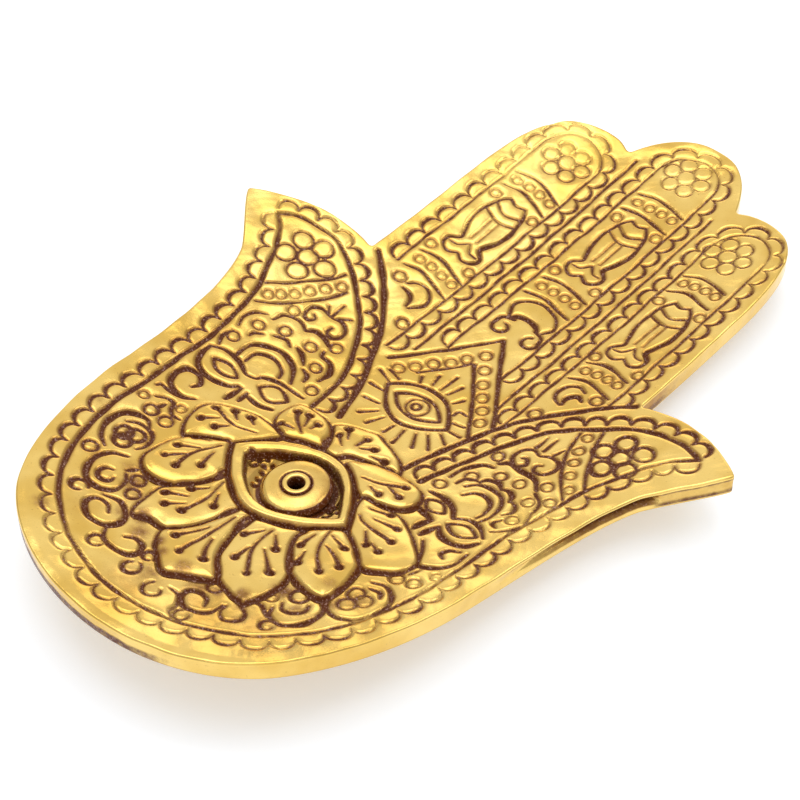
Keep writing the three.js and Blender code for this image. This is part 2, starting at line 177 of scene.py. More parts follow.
# Each stop: its place, the handle that leads in, the handle that leads out, and its lift on the right
# half, which is its drop on the left half
EDGE_STOPS = [
    ((0, -44.7), (-14.4, 0), (14.4, 0), 0),
    ((28.9, -32.5), (-4.3, -6), (4.3, 6), 0),
    ((39.2, 0), (-1, -15.2), (1, 11), 0),
    ((45.5, 33.6), (-4.2, -8.1), (2.3, 3.3), 0.5),
    ((55, 45.3), (-2, -3.2), (-5.7, 4.3), 1),
    ((31, 52.4), (10.6, 2.1), (0, 0), 0.5),
    ((31, 80), (0, 0), (0, 17.3), 0),
    ((17, 105.4), (10.7, 0), (-2, 0), -0.5),
    ((12.9, 104.4), (1.8, 0.7), (-2.7, 6.3), -0.25),
    ((0, FINGERTIP_UP), (7, 0), (-7, 0), 0),
]


def even(path, step):
    """The same line with its points evenly spaced."""
    path = np.asarray(path, float)
    run = np.concatenate([[0], np.cumsum(np.linalg.norm(np.diff(path, axis=0), axis=1))])
    stops = np.linspace(0, run[-1], max(2, round(run[-1] / step) + 1))
    return np.stack([np.interp(stops, run, path[:, 0]), np.interp(stops, run, path[:, 1])], 1)


def half_edge(side):
    """The edge from the heel to the middle fingertip, on the right (side 1) or on the left (side -1)."""
    t = np.linspace(0, 1, 60)[:, None]
    parts = []
    for (start, _, leave, lift_a), (stop, arrive, _, lift_b) in zip(EDGE_STOPS[:-1], EDGE_STOPS[1:]):
        a = np.add(start, (0, side * lift_a))
        d = np.add(stop, (0, side * lift_b))
        b, c = a + leave, d + arrive
        parts.append(a * (1 - t) ** 3 + 3 * b * t * (1 - t) ** 2 + 3 * c * t**2 * (1 - t) + d * t**3)
    return np.concatenate(parts) * (side, 1)


hand_edge = even(np.concatenate([half_edge(1), half_edge(-1)[::-1]]), EDGE_STEP)[:-1]
neighbours = range(-CORNER_SOFTENING, CORNER_SOFTENING + 1)
hand_edge = sum(np.roll(hand_edge, n, 0) for n in neighbours) / len(neighbours)
print("edge of", len(hand_edge), "points, box in mm", hand_edge.min(0).round(1), hand_edge.max(0).round(1))

# %% [markdown]
# ## The sheet that is carved
# The upper face could be sculpted by hand, or cut with hundreds of boolean strokes, which is slow and
# breaks easily. Instead it is a fine sheet of heights: every stroke only lowers the numbers near it.
# Four numbers are kept at each point: how much is raised, how deep it is cut, how much brown wax stays
# there, and how far the nearest cut is. The last one lets the metal round over towards each line. The
# drawing is bent by a tenth of a millimetre or so, and the pressure of the tool comes and goes along a
# cut, so no line is as perfect as a machine's. Where the hand was polished most, such as the outer
# finger, the tip of the left thumb and the heel, the cuts are thinner and keep less wax.

# %% A fine sheet of heights
PITCH = 0.25  # spacing of the sheet's points
REACH = 1.8  # how far from a cut its distance matters
SHEET_LOW, SHEET_HIGH = np.array([-57.0, -47.0]), np.array([57.0, 118.0])
across = np.arange(SHEET_LOW[0], SHEET_HIGH[0], PITCH)
upward = np.arange(SHEET_LOW[1], SHEET_HIGH[1], PITCH)
X, Y = np.meshgrid(across, upward)
HAND_WANDER = 0.1  # how far the drawing is bent
PRESSURE_WAVE = 0.09  # how much the pressure of the tool comes and goes
U = X + HAND_WANDER * (np.sin(0.43 * Y + 1.3 * np.sin(0.23 * X)) + 0.3 * np.sin(1.3 * Y + 0.6 * X))
V = Y + HAND_WANDER * (np.sin(0.47 * X + 1.1 * np.sin(0.27 * Y) + 2) + 0.3 * np.sin(1.2 * X - 0.7 * Y))
# Patches that are rubbed by polishing: middle, spread and strength
RUBBED = [
    (-31, 88, 12, 0.65), (-23, 101, 9, 0.75), (-24, 72, 9, 0.25), (0, 114, 8, 0.6), (-50, 44, 8, 0.45),
    (-46, 34, 6, 0.35), (-38, 52, 7, 0.5), (-31, 33, 6, 0.25), (-14, -42, 11, 0.5), (8, -41, 11, 0.45),
    (27, -31, 8, 0.5), (27, 96, 8, 0.4), (35, -2, 8, 0.5), (37, 19, 8, 0.5), (33, -16, 8, 0.5),
    (43, 42, 6, 0.4), (-19, 55, 9, 0.2), (0, 106, 8, 0.45), (19, 94, 8, 0.35),
]


def patches(places):
    """A soft spot at each place, the strongest of them where they meet."""
    spots = [share * np.exp(-((X - x) ** 2 + (Y - y) ** 2) / spread**2) for x, y, spread, share in places]
    return np.max(spots, axis=0)


kept = 1 - patches(RUBBED)
waves = np.sin(1.1 * X + 1.4 * np.sin(0.6 * Y)) + np.sin(1.3 * Y + 1.2 * np.sin(0.7 * X + 1))
pressure = (1 + PRESSURE_WAVE * waves) * (0.5 + 0.5 * kept)
lift = np.zeros(X.shape)
cut = np.zeros(X.shape)
ink = np.zeros(X.shape)
clear = np.full(X.shape, REACH)
print("sheet of", X.shape, "points,", PITCH, "mm apart")

# %% [markdown]
# ## Measuring on the sheet
# To carve, one has to know how far each point of the sheet is from a line, and which points lie inside
# a closed one. A tree of nearest points, or Blender's own ray casts, could answer that too. Here a line
# is cut into short straight stretches, and only the small window of the sheet round each stretch is
# measured, which is quick.

# %% Distances on the sheet
TINY = 1e-9  # keeps a stretch without length from dividing by zero


def ease(t):
    """From 0 to 1 with a smooth start and a smooth end."""
    t = np.clip(t, 0, 1)
    return t * t * (3 - 2 * t)


def window(low, high):
    """The rows and columns of the sheet that a box covers."""
    first = np.floor((low - SHEET_LOW) / PITCH).astype(int).clip(0)
    last = np.ceil((high - SHEET_LOW) / PITCH).astype(int).clip(0) + 1
    return slice(first[1], last[1]), slice(first[0], last[0])


def beside(a, b, u, v):
    """How far points are from a straight stretch, and how far along it they lie, from 0 to 1."""
    run = b - a
    right, up = u - a[0], v - a[1]
    share = np.clip((right * run[0] + up * run[1]) / max(run @ run, TINY), 0, 1)
    return np.hypot(right - share * run[0], up - share * run[1]), share


def stretches(path, reach, u, v):
    """For each stretch of a path: the window of the sheet round it, and what beside says there."""
    for a, b in zip(path[:-1], path[1:]):
        spot = window(np.minimum(a, b) - reach, np.maximum(a, b) + reach)
        yield spot, *beside(a, b, u[spot], v[spot])


def covered(loop, u, v):
    """True at the points that lie inside a closed line."""
    odd = np.zeros(u.shape, bool)
    for a, b in zip(loop, np.roll(loop, -1, 0)):
        rise = b[1] - a[1]
        if rise:
            odd ^= ((a[1] > v) != (b[1] > v)) & (u < a[0] + (v - a[1]) * (b[0] - a[0]) / rise)
    return odd


def depth_inside(loop):
    """The sheet around a closed line, and how far inside it each point is."""
    spot = window(loop.min(0) - REACH, loop.max(0) + REACH)
    away = np.full(U[spot].shape, np.inf)
    for a, b in zip(loop, np.roll(loop, -1, 0)):
        away = np.minimum(away, beside(a, b, U[spot], V[spot])[0])
    return spot, np.where(covered(loop, U[spot], V[spot]), away, -away)


print("a line is measured in windows of the sheet,", 2 * REACH, "mm wide and more")

# %% [markdown]
# ## How far inside the edge
# The casting ends at the drawn edge. A boolean cut with the outline could trim the sheet, but a number
# at each point does more: inset is the distance to the edge, positive on the hand and negative beyond
# it. It says which points are kept, and later it rounds off the rim.

# %% Inset from the edge
EDGE_REACH = 6.0  # beyond this, the distance from the edge doesn't matter
inset = np.full(X.shape, EDGE_REACH)
for spot, away, _ in stretches(np.concatenate([hand_edge, hand_edge[:1]]), EDGE_REACH, X, Y):
    inset[spot] = np.minimum(inset[spot], away)
edge_a, edge_b = hand_edge, np.roll(hand_edge, -1, 0)
for row, level in enumerate(upward):
    crossing = (edge_a[:, 1] > level) != (edge_b[:, 1] > level)
    a, b = edge_a[crossing], edge_b[crossing]
    places = np.sort(a[:, 0] + (level - a[:, 1]) * (b[:, 0] - a[:, 0]) / (b[:, 1] - a[:, 1]))
    inset[row] *= np.where(np.searchsorted(places, across) % 2 == 1, 1, -1)
print(int((inset > 0).sum()), "of", X.size, "points lie on the hand")

# %% [markdown]
# ## The graver
# One function cuts every line. A cut is a rounded trough, deeper where it is wider, so a stroke that
# tapers also gets shallower, as one cut with a graver does. A curve with a bevel could be cut out
# instead, but where two strokes cross, the deeper number simply wins here. Shallow cuts are polished
# cleaner than deep ones, so they keep less wax.

# %% Cutting strokes
LINE, FINE, BOLD = 0.9, 0.45, 1.1  # widths of the cuts
TROUGH = 1.15  # depth of a cut as a share of its half width
FAINT = 0.6  # share of the wax that is left in the shallow cuts
WAX_SPILL, WAX_FADE = 0.06, 0.22  # how far wax reaches past a cut, and the width over which it thins out
VEIN_PIT = 1.5  # width of the pit at the end of a vein


def engrave(path, width=LINE, wax=1.0):
    """Cuts along a path; the width may change from point to point."""
    path = np.asarray(path, float)
    half = np.broadcast_to(np.asarray(width, float) / 2, len(path))
    for i, (spot, away, share) in enumerate(stretches(path, REACH, U, V)):
        radius = (half[i] + share * (half[i + 1] - half[i])) * pressure[spot]
        cut[spot] = np.maximum(cut[spot], TROUGH * radius * np.clip(1 - (away / radius) ** 2, 0, None))
        ink[spot] = np.maximum(ink[spot], wax * ease((radius + WAX_SPILL - away) / WAX_FADE))
        clear[spot] = np.minimum(clear[spot], away - radius)


def pit(x, y, width):
    """A round hole punched at one place."""
    engrave([(x, y), (x, y)], width)


def flick(*stops, thin=0.3, thick=0.8, wax=1.0):
    """A stroke that swells from a thin start to a thick end."""
    path = curve(stops)
    engrave(path, np.linspace(thin, thick, len(path)), wax)


def swell(*stops, thin=0.55, thick=1.2):
    """A stroke that is thickest in its middle, where the tool leans into the bend."""
    path = curve(stops)
    engrave(path, thin + (thick - thin) * np.sin(np.pi * np.linspace(0, 1, len(path))))


def vein(*stops):
    """A stroke of a petal, ending in a round pit."""
    flick(*stops, thin=0.32, thick=0.78)
    pit(*stops[-1], VEIN_PIT)


print("a line", LINE, "mm wide is", round(TROUGH * LINE / 2, 2), "mm deep")

# %% [markdown]
# ## What repeats all over the hand
# Small rings and rows of scallops come again and again in this ornament, so each is a function built on
# the graver. An array of copies along a curve would do for the scallops too, but each lobe here swells
# in its middle and bends with its line, as one that is cut by hand. What lies under a raised form is
# polished away before it is made.

# %% Ringlets, scallops and polishing
def ringlets(radius, *places, width=FINE, wax=FAINT):
    """A small ring at each place."""
    for x, y in places:
        engrave(arc(x, y, radius), width, wax)


def scallops(line, out, cusp, side, pitch=4.1, width=0.72, wax=1.0):
    """A row of lobes along a line, on its left (side 1) or right (side -1)."""
    line = even(line, STEP / 2)
    count = max(1, round((len(line) - 1) * STEP / 2 / pitch))
    heading = np.gradient(line, axis=0)
    square = np.stack([-heading[:, 1], heading[:, 0]], 1) / np.linalg.norm(heading, axis=1)[:, None]
    t = np.linspace(0, 1, 15)
    rise = cusp + (out - cusp) * np.sqrt(np.clip(1 - (2 * t - 1) ** 2, 0, None))
    for lobe in range(count):
        at = (lobe + t) / count * (len(line) - 1)
        base = np.stack([np.interp(at, np.arange(len(line)), line[:, k]) for k in (0, 1)], 1)
        normal = np.stack([np.interp(at, np.arange(len(line)), square[:, k]) for k in (0, 1)], 1)
        engrave(base + side * rise[:, None] * normal, width * (0.65 + 0.55 * np.sin(np.pi * t)), wax)
    return count


def erase(loop):
    """Polishes away what was cut inside a closed line."""
    spot, depth = depth_inside(loop)
    cut[spot] = np.where(depth > 0, 0, cut[spot])
    ink[spot] = np.where(depth > 0, 0, ink[spot])
    clear[spot] = np.where(depth > 0, REACH, clear[spot])


print("a shallow cut keeps", FAINT, "of its wax")

# %% [markdown]
# ## The border of palm and thumbs
# A line follows the edge of the palm from thumb to thumb, with a row of scallops outside it, like the
# hem of a cloth. Each thumb is closed towards the fingers by a second scalloped line and a plain one.
# One side could be the mirror image of the other, but they were cut freehand: each has its own stops,
# and the right thumb is cut more boldly.

# %% Border lines
PALM_LINE = [
    (-47, 44), (-44, 41.3), (-40, 34.8), (-36.5, 26), (-34.6, 16), (-33.3, 0), (-31.5, -14),
    (-27, -24.5), (-20, -32), (-10, -36.7), (0, -38), (9, -36.4), (18, -32.3), (23, -28.7), (28, -22),
    (31, -15), (32.8, -6), (33.4, 4), (33.6, 13), (36, 27.2), (38.5, 34.7), (42.4, 42.2), (47.6, 46.5),
]
LEFT_THUMB_LINE = [
    (-47, 44), (-44, 46.5), (-40, 47.7), (-36, 47.9), (-32, 46.5), (-28, 44.2), (-24, 41), (-20, 37),
    (-16, 31.3), (-14, 26.8), (-12.8, 22), (-12, 17),
]
RIGHT_THUMB_LINE = [
    (47.6, 46.5), (43.5, 48.1), (39.9, 48.6), (36.7, 48.4), (33.1, 47.2), (27.4, 43.8), (24.2, 41.6),
    (21.2, 38), (17.8, 31.5), (16.2, 27), (14.9, 22.9), (13.5, 16.5),
]
LEFT_FINGER_LINE = [
    (-29.5, 52.4), (-26, 49.5), (-22, 45.7), (-18, 40.8), (-14, 34.5), (-10, 26), (-7.2, 18.5),
]
RIGHT_FINGER_LINE = [
    (30, 52.4), (26.4, 49.9), (23.1, 46.9), (16.4, 39.2), (13.1, 31.9), (10.4, 24), (9.2, 16.5),
]

lobes = scallops(curve(PALM_LINE), 3.0, 1.1, -1, width=0.66)
lobes += scallops(curve(LEFT_THUMB_LINE), 3.1, 1.1, 1, pitch=3.7)
lobes += scallops(curve(RIGHT_THUMB_LINE), 3.1, 1.1, -1, pitch=3.7, width=0.84)
for stops in (PALM_LINE, LEFT_THUMB_LINE):
    engrave(curve(stops), LINE)
for stops in (LEFT_FINGER_LINE, RIGHT_FINGER_LINE, RIGHT_THUMB_LINE):
    engrave(curve(stops), BOLD)
print("border cut with", lobes, "scallops")

# %% [markdown]
# ## The fingers
# Each finger is a tall arched field with scallops round it. From the tip down it holds a flower, a band
# of ringlets, a fish with its tail towards the palm, another band, and at the root a crescent or a
# crest. Copies of one mesh could repeat them, but carved numbers can't be copied like that, so each
# part is a function that cuts it at any place.

# %% Fields, bands, flowers and fish
FISH_SIDE = [
    (1.7, 18.3), (3, 16.3), (3.8, 12.3), (3.6, 9), (2.7, 6.2), (2.3, 4.6), (3.8, 3), (3.5, 1.2),
    (1.8, 0.3), (0, 1.3),
]


def finger_field(left, right, left_foot, right_foot, shoulder, tip):
    """The line round a finger's field: up one side, round the tip and down the other."""
    middle, half = (left + right) / 2, (right - left) / 2
    angle = np.linspace(np.pi, 0, 40)
    round_tip = np.stack([middle + half * np.cos(angle), shoulder + (tip - shoulder) * np.sin(angle)], 1)
    line = np.concatenate([[(left, left_foot)], round_tip, [(right, right_foot)]])
    engrave(even(line, 1), 0.52)
    return scallops(line, 2.5, 0.7, 1, pitch=4.3, width=0.6)


def band(x, low, high, half=5.2, dots=4):
    """Two bowed lines across a finger, with ringlets between them."""
    for y in (low, high):
        swell((x - half, y - 0.9), (x - 1, y + 0.1), (x + half, y - 1.5), thin=0.48, thick=0.72)
    for k in range(dots):
        t = (k + 0.5) / dots * 2 - 1
        ringlets(0.95, (x + t * half, (low + high) / 2 - 0.5 * t**2), width=0.39)


def flower(x, y, start, wax):
    """A ring with six petals round it."""
    core, petal, count = 1.75, 1.6, 6
    apart = core + petal
    ringlets(core, (x, y), width=0.47, wax=wax)
    for k in range(count):
        angle = math.radians(start + 360 * k / count)
        ringlets(petal, (x + apart * math.cos(angle), y + apart * math.sin(angle)), width=0.45, wax=wax)


def fish(x, tail):
    """A fish seen from above, with its tail at the given height and a heavier line on its right."""
    for side, width in ((-1, 0.68), (1, 0.95)):
        swell(*[(x + side * a, tail + b) for a, b in FISH_SIDE], thin=0.53, thick=width)
        engrave([(x + side * 0.8, tail + 5.6), (x + side * 0.8, tail + 12)], 0.4, FAINT)
        tail_fold = [(x, tail + 4.6), (x + side * 1.4, tail + 2.8), (x + side * 3, tail + 2.6)]
        flick(*tail_fold, thin=FINE, thick=0.4)
        ringlets(1.05, (x + side * 4.6, tail + 17.2), (x + side * 4.7, tail - 0.6))
    engrave(curve([(x - 1.7, tail + 18.3), (x, tail + 17.7), (x + 1.7, tail + 18.3)]), 0.6)
    for y, half, sag in ((15.7, 2.9, 1.3), (13.4, 3.6, 1.1)):
        engrave(curve([(x - half, tail + y), (x, tail + y - sag), (x + half, tail + y)]), 0.55, 0.8)


print("a fish is", FISH_SIDE[0][1], "mm long and", 2 * FISH_SIDE[2][0], "mm wide")

# %% [markdown]
# ## Setting out the fingers
# One finger could be copied to the other two, but the middle one reaches a centimetre higher than its
# neighbours, and the fields end where the lines of the thumbs cross them. So each field is set out by
# its own sides, feet, shoulder and tip, and what it holds by a few places. Straight lines part the
# fingers.

# %% Cut the three fingers
lobes = finger_field(-26, -13.7, 53.5, 37.5, 95, 101.7)
lobes += finger_field(-6, 6.5, 45, 45, 104.5, 111.8)
lobes += finger_field(14.5, 26.1, 36.5, 50.5, 94, 100.4)
for x_top, x_foot, top, foot in ((-10.4, -9.7, 104, 40.5), (10.3, 10.8, 100, 38)):
    engrave(even([(x_foot, foot), (x_top, top)], 1), 0.58, 0.9)
flower(-19.7, 94.3, 8, 0.85)
flower(-0.3, 106.5, 0, 0.9)
flower(18.9, 93.5, 0, 1)
for x, low, high in ((-19.5, 82.6, 86.8), (-19.3, 54.6, 59.4), (0.4, 93.6, 98.7), (0.4, 65.6, 70.7)):
    band(x, low, high)
for x, low, high in ((20, 81.4, 86.2), (20.2, 53.3, 58.4)):
    band(x, low, high, half=4.7)
for x, tail in ((-19.6, 61.7), (0.4, 73.2), (20.4, 60.2)):
    fish(x, tail)
print("three fingers cut with", lobes, "scallops")

# %% [markdown]
# ## Between the fingers and the eye
# Below the side fingers lie two crescents, below the middle one a crest of two curls. A pointed gable
# of two lines with ringlets between them covers a small eye that gives off rays. The rays could be spun
# round the eye by a loop, but on the holder their lengths and angles differ, so each has its own two
# ends.

# %% Crescents, crest, gable and small eye
swell((-21.2, 50.9), (-19.9, 52.3), (-17.7, 52.6), (-15.9, 51.2), (-15.5, 49), (-16.9, 46.6), thick=0.75)
swell((-20.9, 49.5), (-19.3, 49.4), (-18.1, 48.5), (-17.5, 46.7), thick=1)
swell((20.6, 50.9), (18.9, 51.5), (17.1, 50.6), (16.4, 48.8), (17, 47), (18.8, 45.9), thick=0.8)
swell((21.5, 48.7), (20.4, 49.4), (19.3, 48.8), (18.7, 47.6), (19.1, 46.2), thick=1)
ringlets(1.15, (-23, 50.9), (-15.2, 43.3), (23.5, 50.4), (16.7, 41.9), width=0.55, wax=0.7)
CREST = [(-3, 58), (-4.2, 61), (-2.6, 63.3), (0.5, 64.4), (3.8, 63.2), (5.6, 60.6), (4.5, 58.4)]
engrave(curve(CREST), 0.65)
swell((-3, 58.2), (-1.5, 59.3), (0.4, 59.7), (2.3, 59.2), (3.6, 58.4), thick=1.1)
for x, y, side in ((-2.5, 55.3, -1), (4.1, 55.2, 1)):
    engrave(curve([(x - side * 0.8, y + 3), (x + side * 1.2, y + 2.1), (x + side * 1.6, y)]), 0.75)
    engrave(spiral(x, y, 1.6, 1.3, 90 - 90 * side, -side * 260), 0.7)
engrave(even([(-11.4, 35.6), (0.2, 52.8)], 1), 0.68)
engrave(even([(0.3, 52.8), (14, 34.2)], 1), 0.82)
engrave(even([(-5.5, 36.4), (0, 44.8)], 1), 0.52)
engrave(even([(0.6, 44.9), (11.8, 30.4)], 1), 0.78)
ringlets(1.1, (0.6, 47.9), (-1.4, 45), (-3, 42.4), (-5, 40), (-6.7, 37.3), (-8.5, 34.9))
ringlets(1.1, (2.8, 45), (4.9, 42.1), (6.9, 39.4), (9, 37), (10.9, 34.5))
engrave(almond((-7.4, 30.9), (7.7, 29.6), 5, 5), 0.76)
engrave(almond((-4.9, 30.3), (5.5, 30), 2.9, 2.6), 0.65)
ringlets(2.1, (0.3, 30.2), width=0.45, wax=0.8)
ringlets(0.85, (0, 30.2), width=0.6, wax=1)
RAYS = [
    ((0.2, 36.3), (0.3, 40.5)), ((-1.5, 36.2), (-2.2, 38.6)), ((1.8, 36.2), (2.7, 39.1)),
    ((4, 35), (5, 36.8)), ((-3.4, 35), (-4.2, 36.4)), ((8.3, 29.5), (10.8, 29.5)),
    ((7.8, 27.9), (10, 26.4)), ((6.3, 26.2), (8.7, 23.4)), ((4.5, 25), (6.3, 22)),
    ((2.5, 24.3), (3.2, 20.6)), ((0.4, 24), (0.3, 21.6)), ((-2.2, 24.3), (-3.3, 21.1)),
    ((-4, 24.8), (-6, 22)), ((-5.2, 26.3), (-8, 25.4)), ((-6.7, 29.1), (-9.7, 28.7)),
    ((-7.6, 31.4), (-10.5, 32.3)), ((-6.6, 33), (-9.3, 33.6)), ((7.4, 31.4), (9.7, 32)),
]
for near, far in RAYS:
    flick(near, far, thin=0.42, thick=0.66)
engrave(curve([(6.2, 32.8), (6.3, 34.1), (8, 34.2)]), 0.5)
print(len(RAYS), "rays round the small eye")

# %% [markdown]
# ## The thumbs
# Each thumb holds a flower at its tip, a slanting band of ringlets, three rays over two curls, a shell
# of two arches within two rows of lobes, and a pair of leaf shapes like the wings of a butterfly. One
# thumb could be the mirror image of the other, but they were cut freehand, so each has stops of its
# own. The tips come first.

# %% Flowers, bands, rays and curls
THUMB_FLOWERS = [
    (-36.7, 41.2), (-36.1, 44.6), (-32.9, 41.5), (-35.6, 37.4), (-39.8, 38.8), (-39.8, 43.3),
    (36.2, 40.2), (34.9, 43.7), (39, 43.1), (32.8, 40.3), (38.9, 38.3), (35.2, 36.6),
]
THUMB_BANDS = [
    [(-37.3, 30.9), (-35.1, 33.4), (-32.9, 36.8), (-31.2, 39.5), (-29.6, 43.7)],
    [(-35.4, 26.5), (-32.1, 30.1), (-29.6, 34), (-27.9, 37.3), (-26.8, 40.9)],
    [(29.9, 44), (30.5, 41.8), (31.9, 38.4), (33.8, 34.6), (36.6, 30.9)],
    [(26.6, 42.1), (27.2, 39), (28.8, 35.1), (31.3, 31.2), (35.2, 26.8)],
]
THUMB_RAYS = [
    [(-26.6, 36.4), (-25.3, 34.8)], [(-24.9, 38.4), (-24.6, 35)], [(-21.8, 36.9), (-23.7, 34.9)],
    [(22.9, 38), (22.9, 35.1)], [(24.5, 38.5), (24.5, 35.1)], [(27.3, 37.4), (26.6, 35.3)],
]
THUMB_CURLS = [
    [(-24.7, 34.6), (-26.8, 34.9), (-28.2, 33.5), (-28, 31.5), (-26.7, 31), (-26, 32.1), (-26.8, 32.9)],
    [
        (-24.3, 34.6), (-22.3, 35.1), (-20.6, 34), (-20.3, 32.3), (-21.2, 31.2), (-22.6, 31.5),
        (-22.7, 32.8),
    ],
    [
        (24.6, 33.8), (23, 34.4), (21.3, 33.2), (21.1, 31), (22.6, 29.7), (24.1, 30.7), (23.5, 32),
        (22.6, 31.7),
    ],
    [
        (24.9, 33.8), (26.6, 34.6), (28.6, 34), (29.4, 32.1), (28.3, 30.2), (26.4, 30.1), (25.8, 31.5),
        (26.8, 32),
    ],
]
ringlets(1.9, *THUMB_FLOWERS[:6], width=0.5, wax=0.9)
ringlets(1.8, *THUMB_FLOWERS[6:], width=0.85, wax=1)
for stops in THUMB_BANDS:
    engrave(curve(stops), 0.62)
ringlets(1, (-28.2, 41.2), (-29.6, 38.5), (-30.9, 35.9), (-32.2, 33.4), (-33.7, 31.3), (-35.2, 29.4))
ringlets(1, (28.4, 41.7), (29.2, 38.3), (30.5, 35.4), (32.2, 32.3), (34.5, 29.4))
for stops in THUMB_RAYS:
    flick(*stops, thin=0.45, thick=0.7)
for stops in THUMB_CURLS:
    swell(*stops, thin=0.55, thick=0.85)
print("thumb tips:", len(THUMB_FLOWERS), "petals,", len(THUMB_RAYS), "rays,", len(THUMB_CURLS), "curls")

# %% [markdown]
# ## Shells and wings
# The shell is the richest part of a thumb: lobes round lobes round two arches, with ringlets between
# them. Below it two leaves lie within wings. They could be built from arcs, but no arc of the real
# ornament is a true one, so every stroke is a smooth curve through three to seven stops. Each has its own
# strength, from which its width follows, and is thinner at both ends.

# %% Lobes, arches, leaves and wings
RIGHT_BOLDNESS = 1.15  # how much wider the strokes of the right thumb are
# Lobes round the shells, arches in them and wings below, each stroke with its strength
SHELL_LOBES = [
    ([(-30.7, 26.2), (-30.4, 28.2), (-29, 29.3), (-27.1, 29.7), (-25.1, 28.7)], 0.95),
    ([(-25.1, 28.9), (-24, 30), (-22.1, 30.2), (-20.1, 29.5)], 1.25),
    ([(-19.8, 27.9), (-19.3, 26.9), (-17.3, 26.8), (-15.8, 24.9), (-15.7, 22.2)], 1.3),
    ([(-32.1, 26.2), (-33.6, 24.6), (-34, 22.3), (-33.1, 20.1)], 0.7),
    ([(-33, 18.6), (-33.3, 16.3), (-32.2, 14.3)], 0.85),
    ([(-27.9, 23.6), (-26.8, 24.4), (-25.7, 24.7), (-24.5, 24)], 0.85),
    ([(-23.4, 24.8), (-21.8, 24.3), (-20.1, 22.8)], 1.2),
    ([(-19.5, 22), (-17.9, 21.5), (-17.3, 20)], 1.1),
    ([(-29.3, 22.4), (-30.4, 21.2), (-30.4, 20)], 0.8),
    ([(20.2, 28.3), (21.9, 29.5), (24.5, 29.1), (28, 28.4), (30, 26.3)], 1.25),
    ([(16.3, 20.7), (16.6, 23.4), (18.3, 26.2), (20.3, 27)], 1),
    ([(30.4, 25.6), (32.5, 24), (33.2, 21.6)], 1.1),
    ([(33, 21.3), (34.1, 18.3), (33.2, 15.6), (31, 13.8)], 1.05),
    ([(18.2, 20.1), (18.8, 21.8), (20.5, 22.6), (21.4, 22.5)], 0.8),
    ([(21.1, 22.9), (21.9, 24), (23.8, 24.4), (25.2, 23.4)], 1.1),
    ([(25, 23.5), (26.5, 23.8), (27.8, 22.9), (28.3, 21.6)], 1.1),
    ([(28.3, 22.1), (29.9, 21.3), (30.5, 19.6), (29.7, 18.2)], 0.9),
    ([(30.6, 17.2), (29.8, 15.8), (31.2, 15)], 0.8),
]
SHELL_ARCHES = [
    ([(-28.7, 15), (-28.8, 18.4), (-27.3, 20.7), (-24, 22.1), (-20.7, 20.9), (-18.2, 17.9)], 1.2),
    ([(-26.8, 15.6), (-26.8, 17.9), (-25.4, 19.4), (-23.4, 19.8), (-21.2, 18.7), (-20.4, 17.2)], 0.95),
    ([(20, 20.3), (21.5, 22), (24, 22.6), (26.5, 21.9), (28.2, 19.5), (28.5, 17), (27.7, 14.8)], 0.95),
    ([(21, 18.2), (22.5, 20), (24.5, 20.4), (26.5, 19.2), (27.1, 17), (26.7, 15.3)], 0.9),
]
SHELL_DOTS = [
    (-27.5, 26), (-22.1, 26.8), (-18.2, 24), (-31.2, 23.2), (-32, 17.7), (-18.9, 30.2), (-14.8, 19.7),
    (-29.7, 30.6), (22.7, 26), (26.6, 26.2), (19.1, 22.9), (30.8, 23.2), (16.3, 18.3), (31.9, 18.1),
    (30.9, 28), (33.9, 25), (19, 29.6),
]
# Middle of each leaf, half its length and height, and its tilt in degrees
LEAVES = [
    (-27.6, 11.5, 2.8, 1.4, 0), (-18.2, 13.7, 2.8, 1.8, 15), (19.5, 13.2, 2.3, 1.4, -12),
    (27.1, 11.2, 3, 1.5, 0),
]
WINGS = [
    ([(-32.9, 12.9), (-30.7, 14.3), (-27.3, 14.7), (-24.6, 13.5), (-22.9, 13.9)], 1.05),
    ([(-32.9, 12.9), (-32.5, 10.7), (-31.2, 8.6), (-27.9, 7.7), (-24.6, 8.8), (-23.3, 10.3)], 1.35),
    ([(-22.6, 14.1), (-22, 15.2), (-19.6, 16.4), (-15.9, 17), (-14.3, 17.2)], 1),
    ([(-20.9, 9.8), (-18, 9.9), (-15.9, 11)], 1.25),
    ([(-22.7, 10.3), (-22.7, 8), (-22.6, 6.4)], 1.3),
    ([(-21.2, 10.2), (-21.1, 9), (-20.9, 7.9)], 1.1),
    ([(16.4, 15.7), (19.1, 15.8), (21.9, 14.7), (23.8, 12.9)], 1.25),
    ([(16.8, 11.4), (19.1, 10.9), (21.6, 10.1)], 1.3),
    ([(23.8, 12.9), (26.3, 14.2), (29.1, 13.6), (31.2, 11.6)], 1),
    ([(23.6, 9.8), (25.2, 8.3), (28, 7.6), (30.2, 8.4), (31.4, 10.2)], 1.35),
    ([(21.6, 10.1), (21, 8.4), (20.8, 6.8)], 1.4),
    ([(23.4, 9.4), (22.9, 7.8), (22.7, 6.3)], 1.3),
]

for stops, width in SHELL_LOBES + SHELL_ARCHES + WINGS:
    boldness = RIGHT_BOLDNESS if stops[0][0] > 0 else 1.0
    swell(*stops, thin=0.5 * width * boldness, thick=0.88 * width * boldness)
ringlets(1.1, *SHELL_DOTS, width=FINE, wax=0.8)
for x, y, half, tall, tilt in LEAVES:
    lean = half * np.array([math.cos(math.radians(tilt)), math.sin(math.radians(tilt))])
    engrave(almond((x, y) - lean, (x, y) + lean, tall, tall), 0.65)
print("shells:", len(SHELL_LOBES), "lobes,", len(SHELL_DOTS), "ringlets; wings:", len(LEAVES), "leaves")

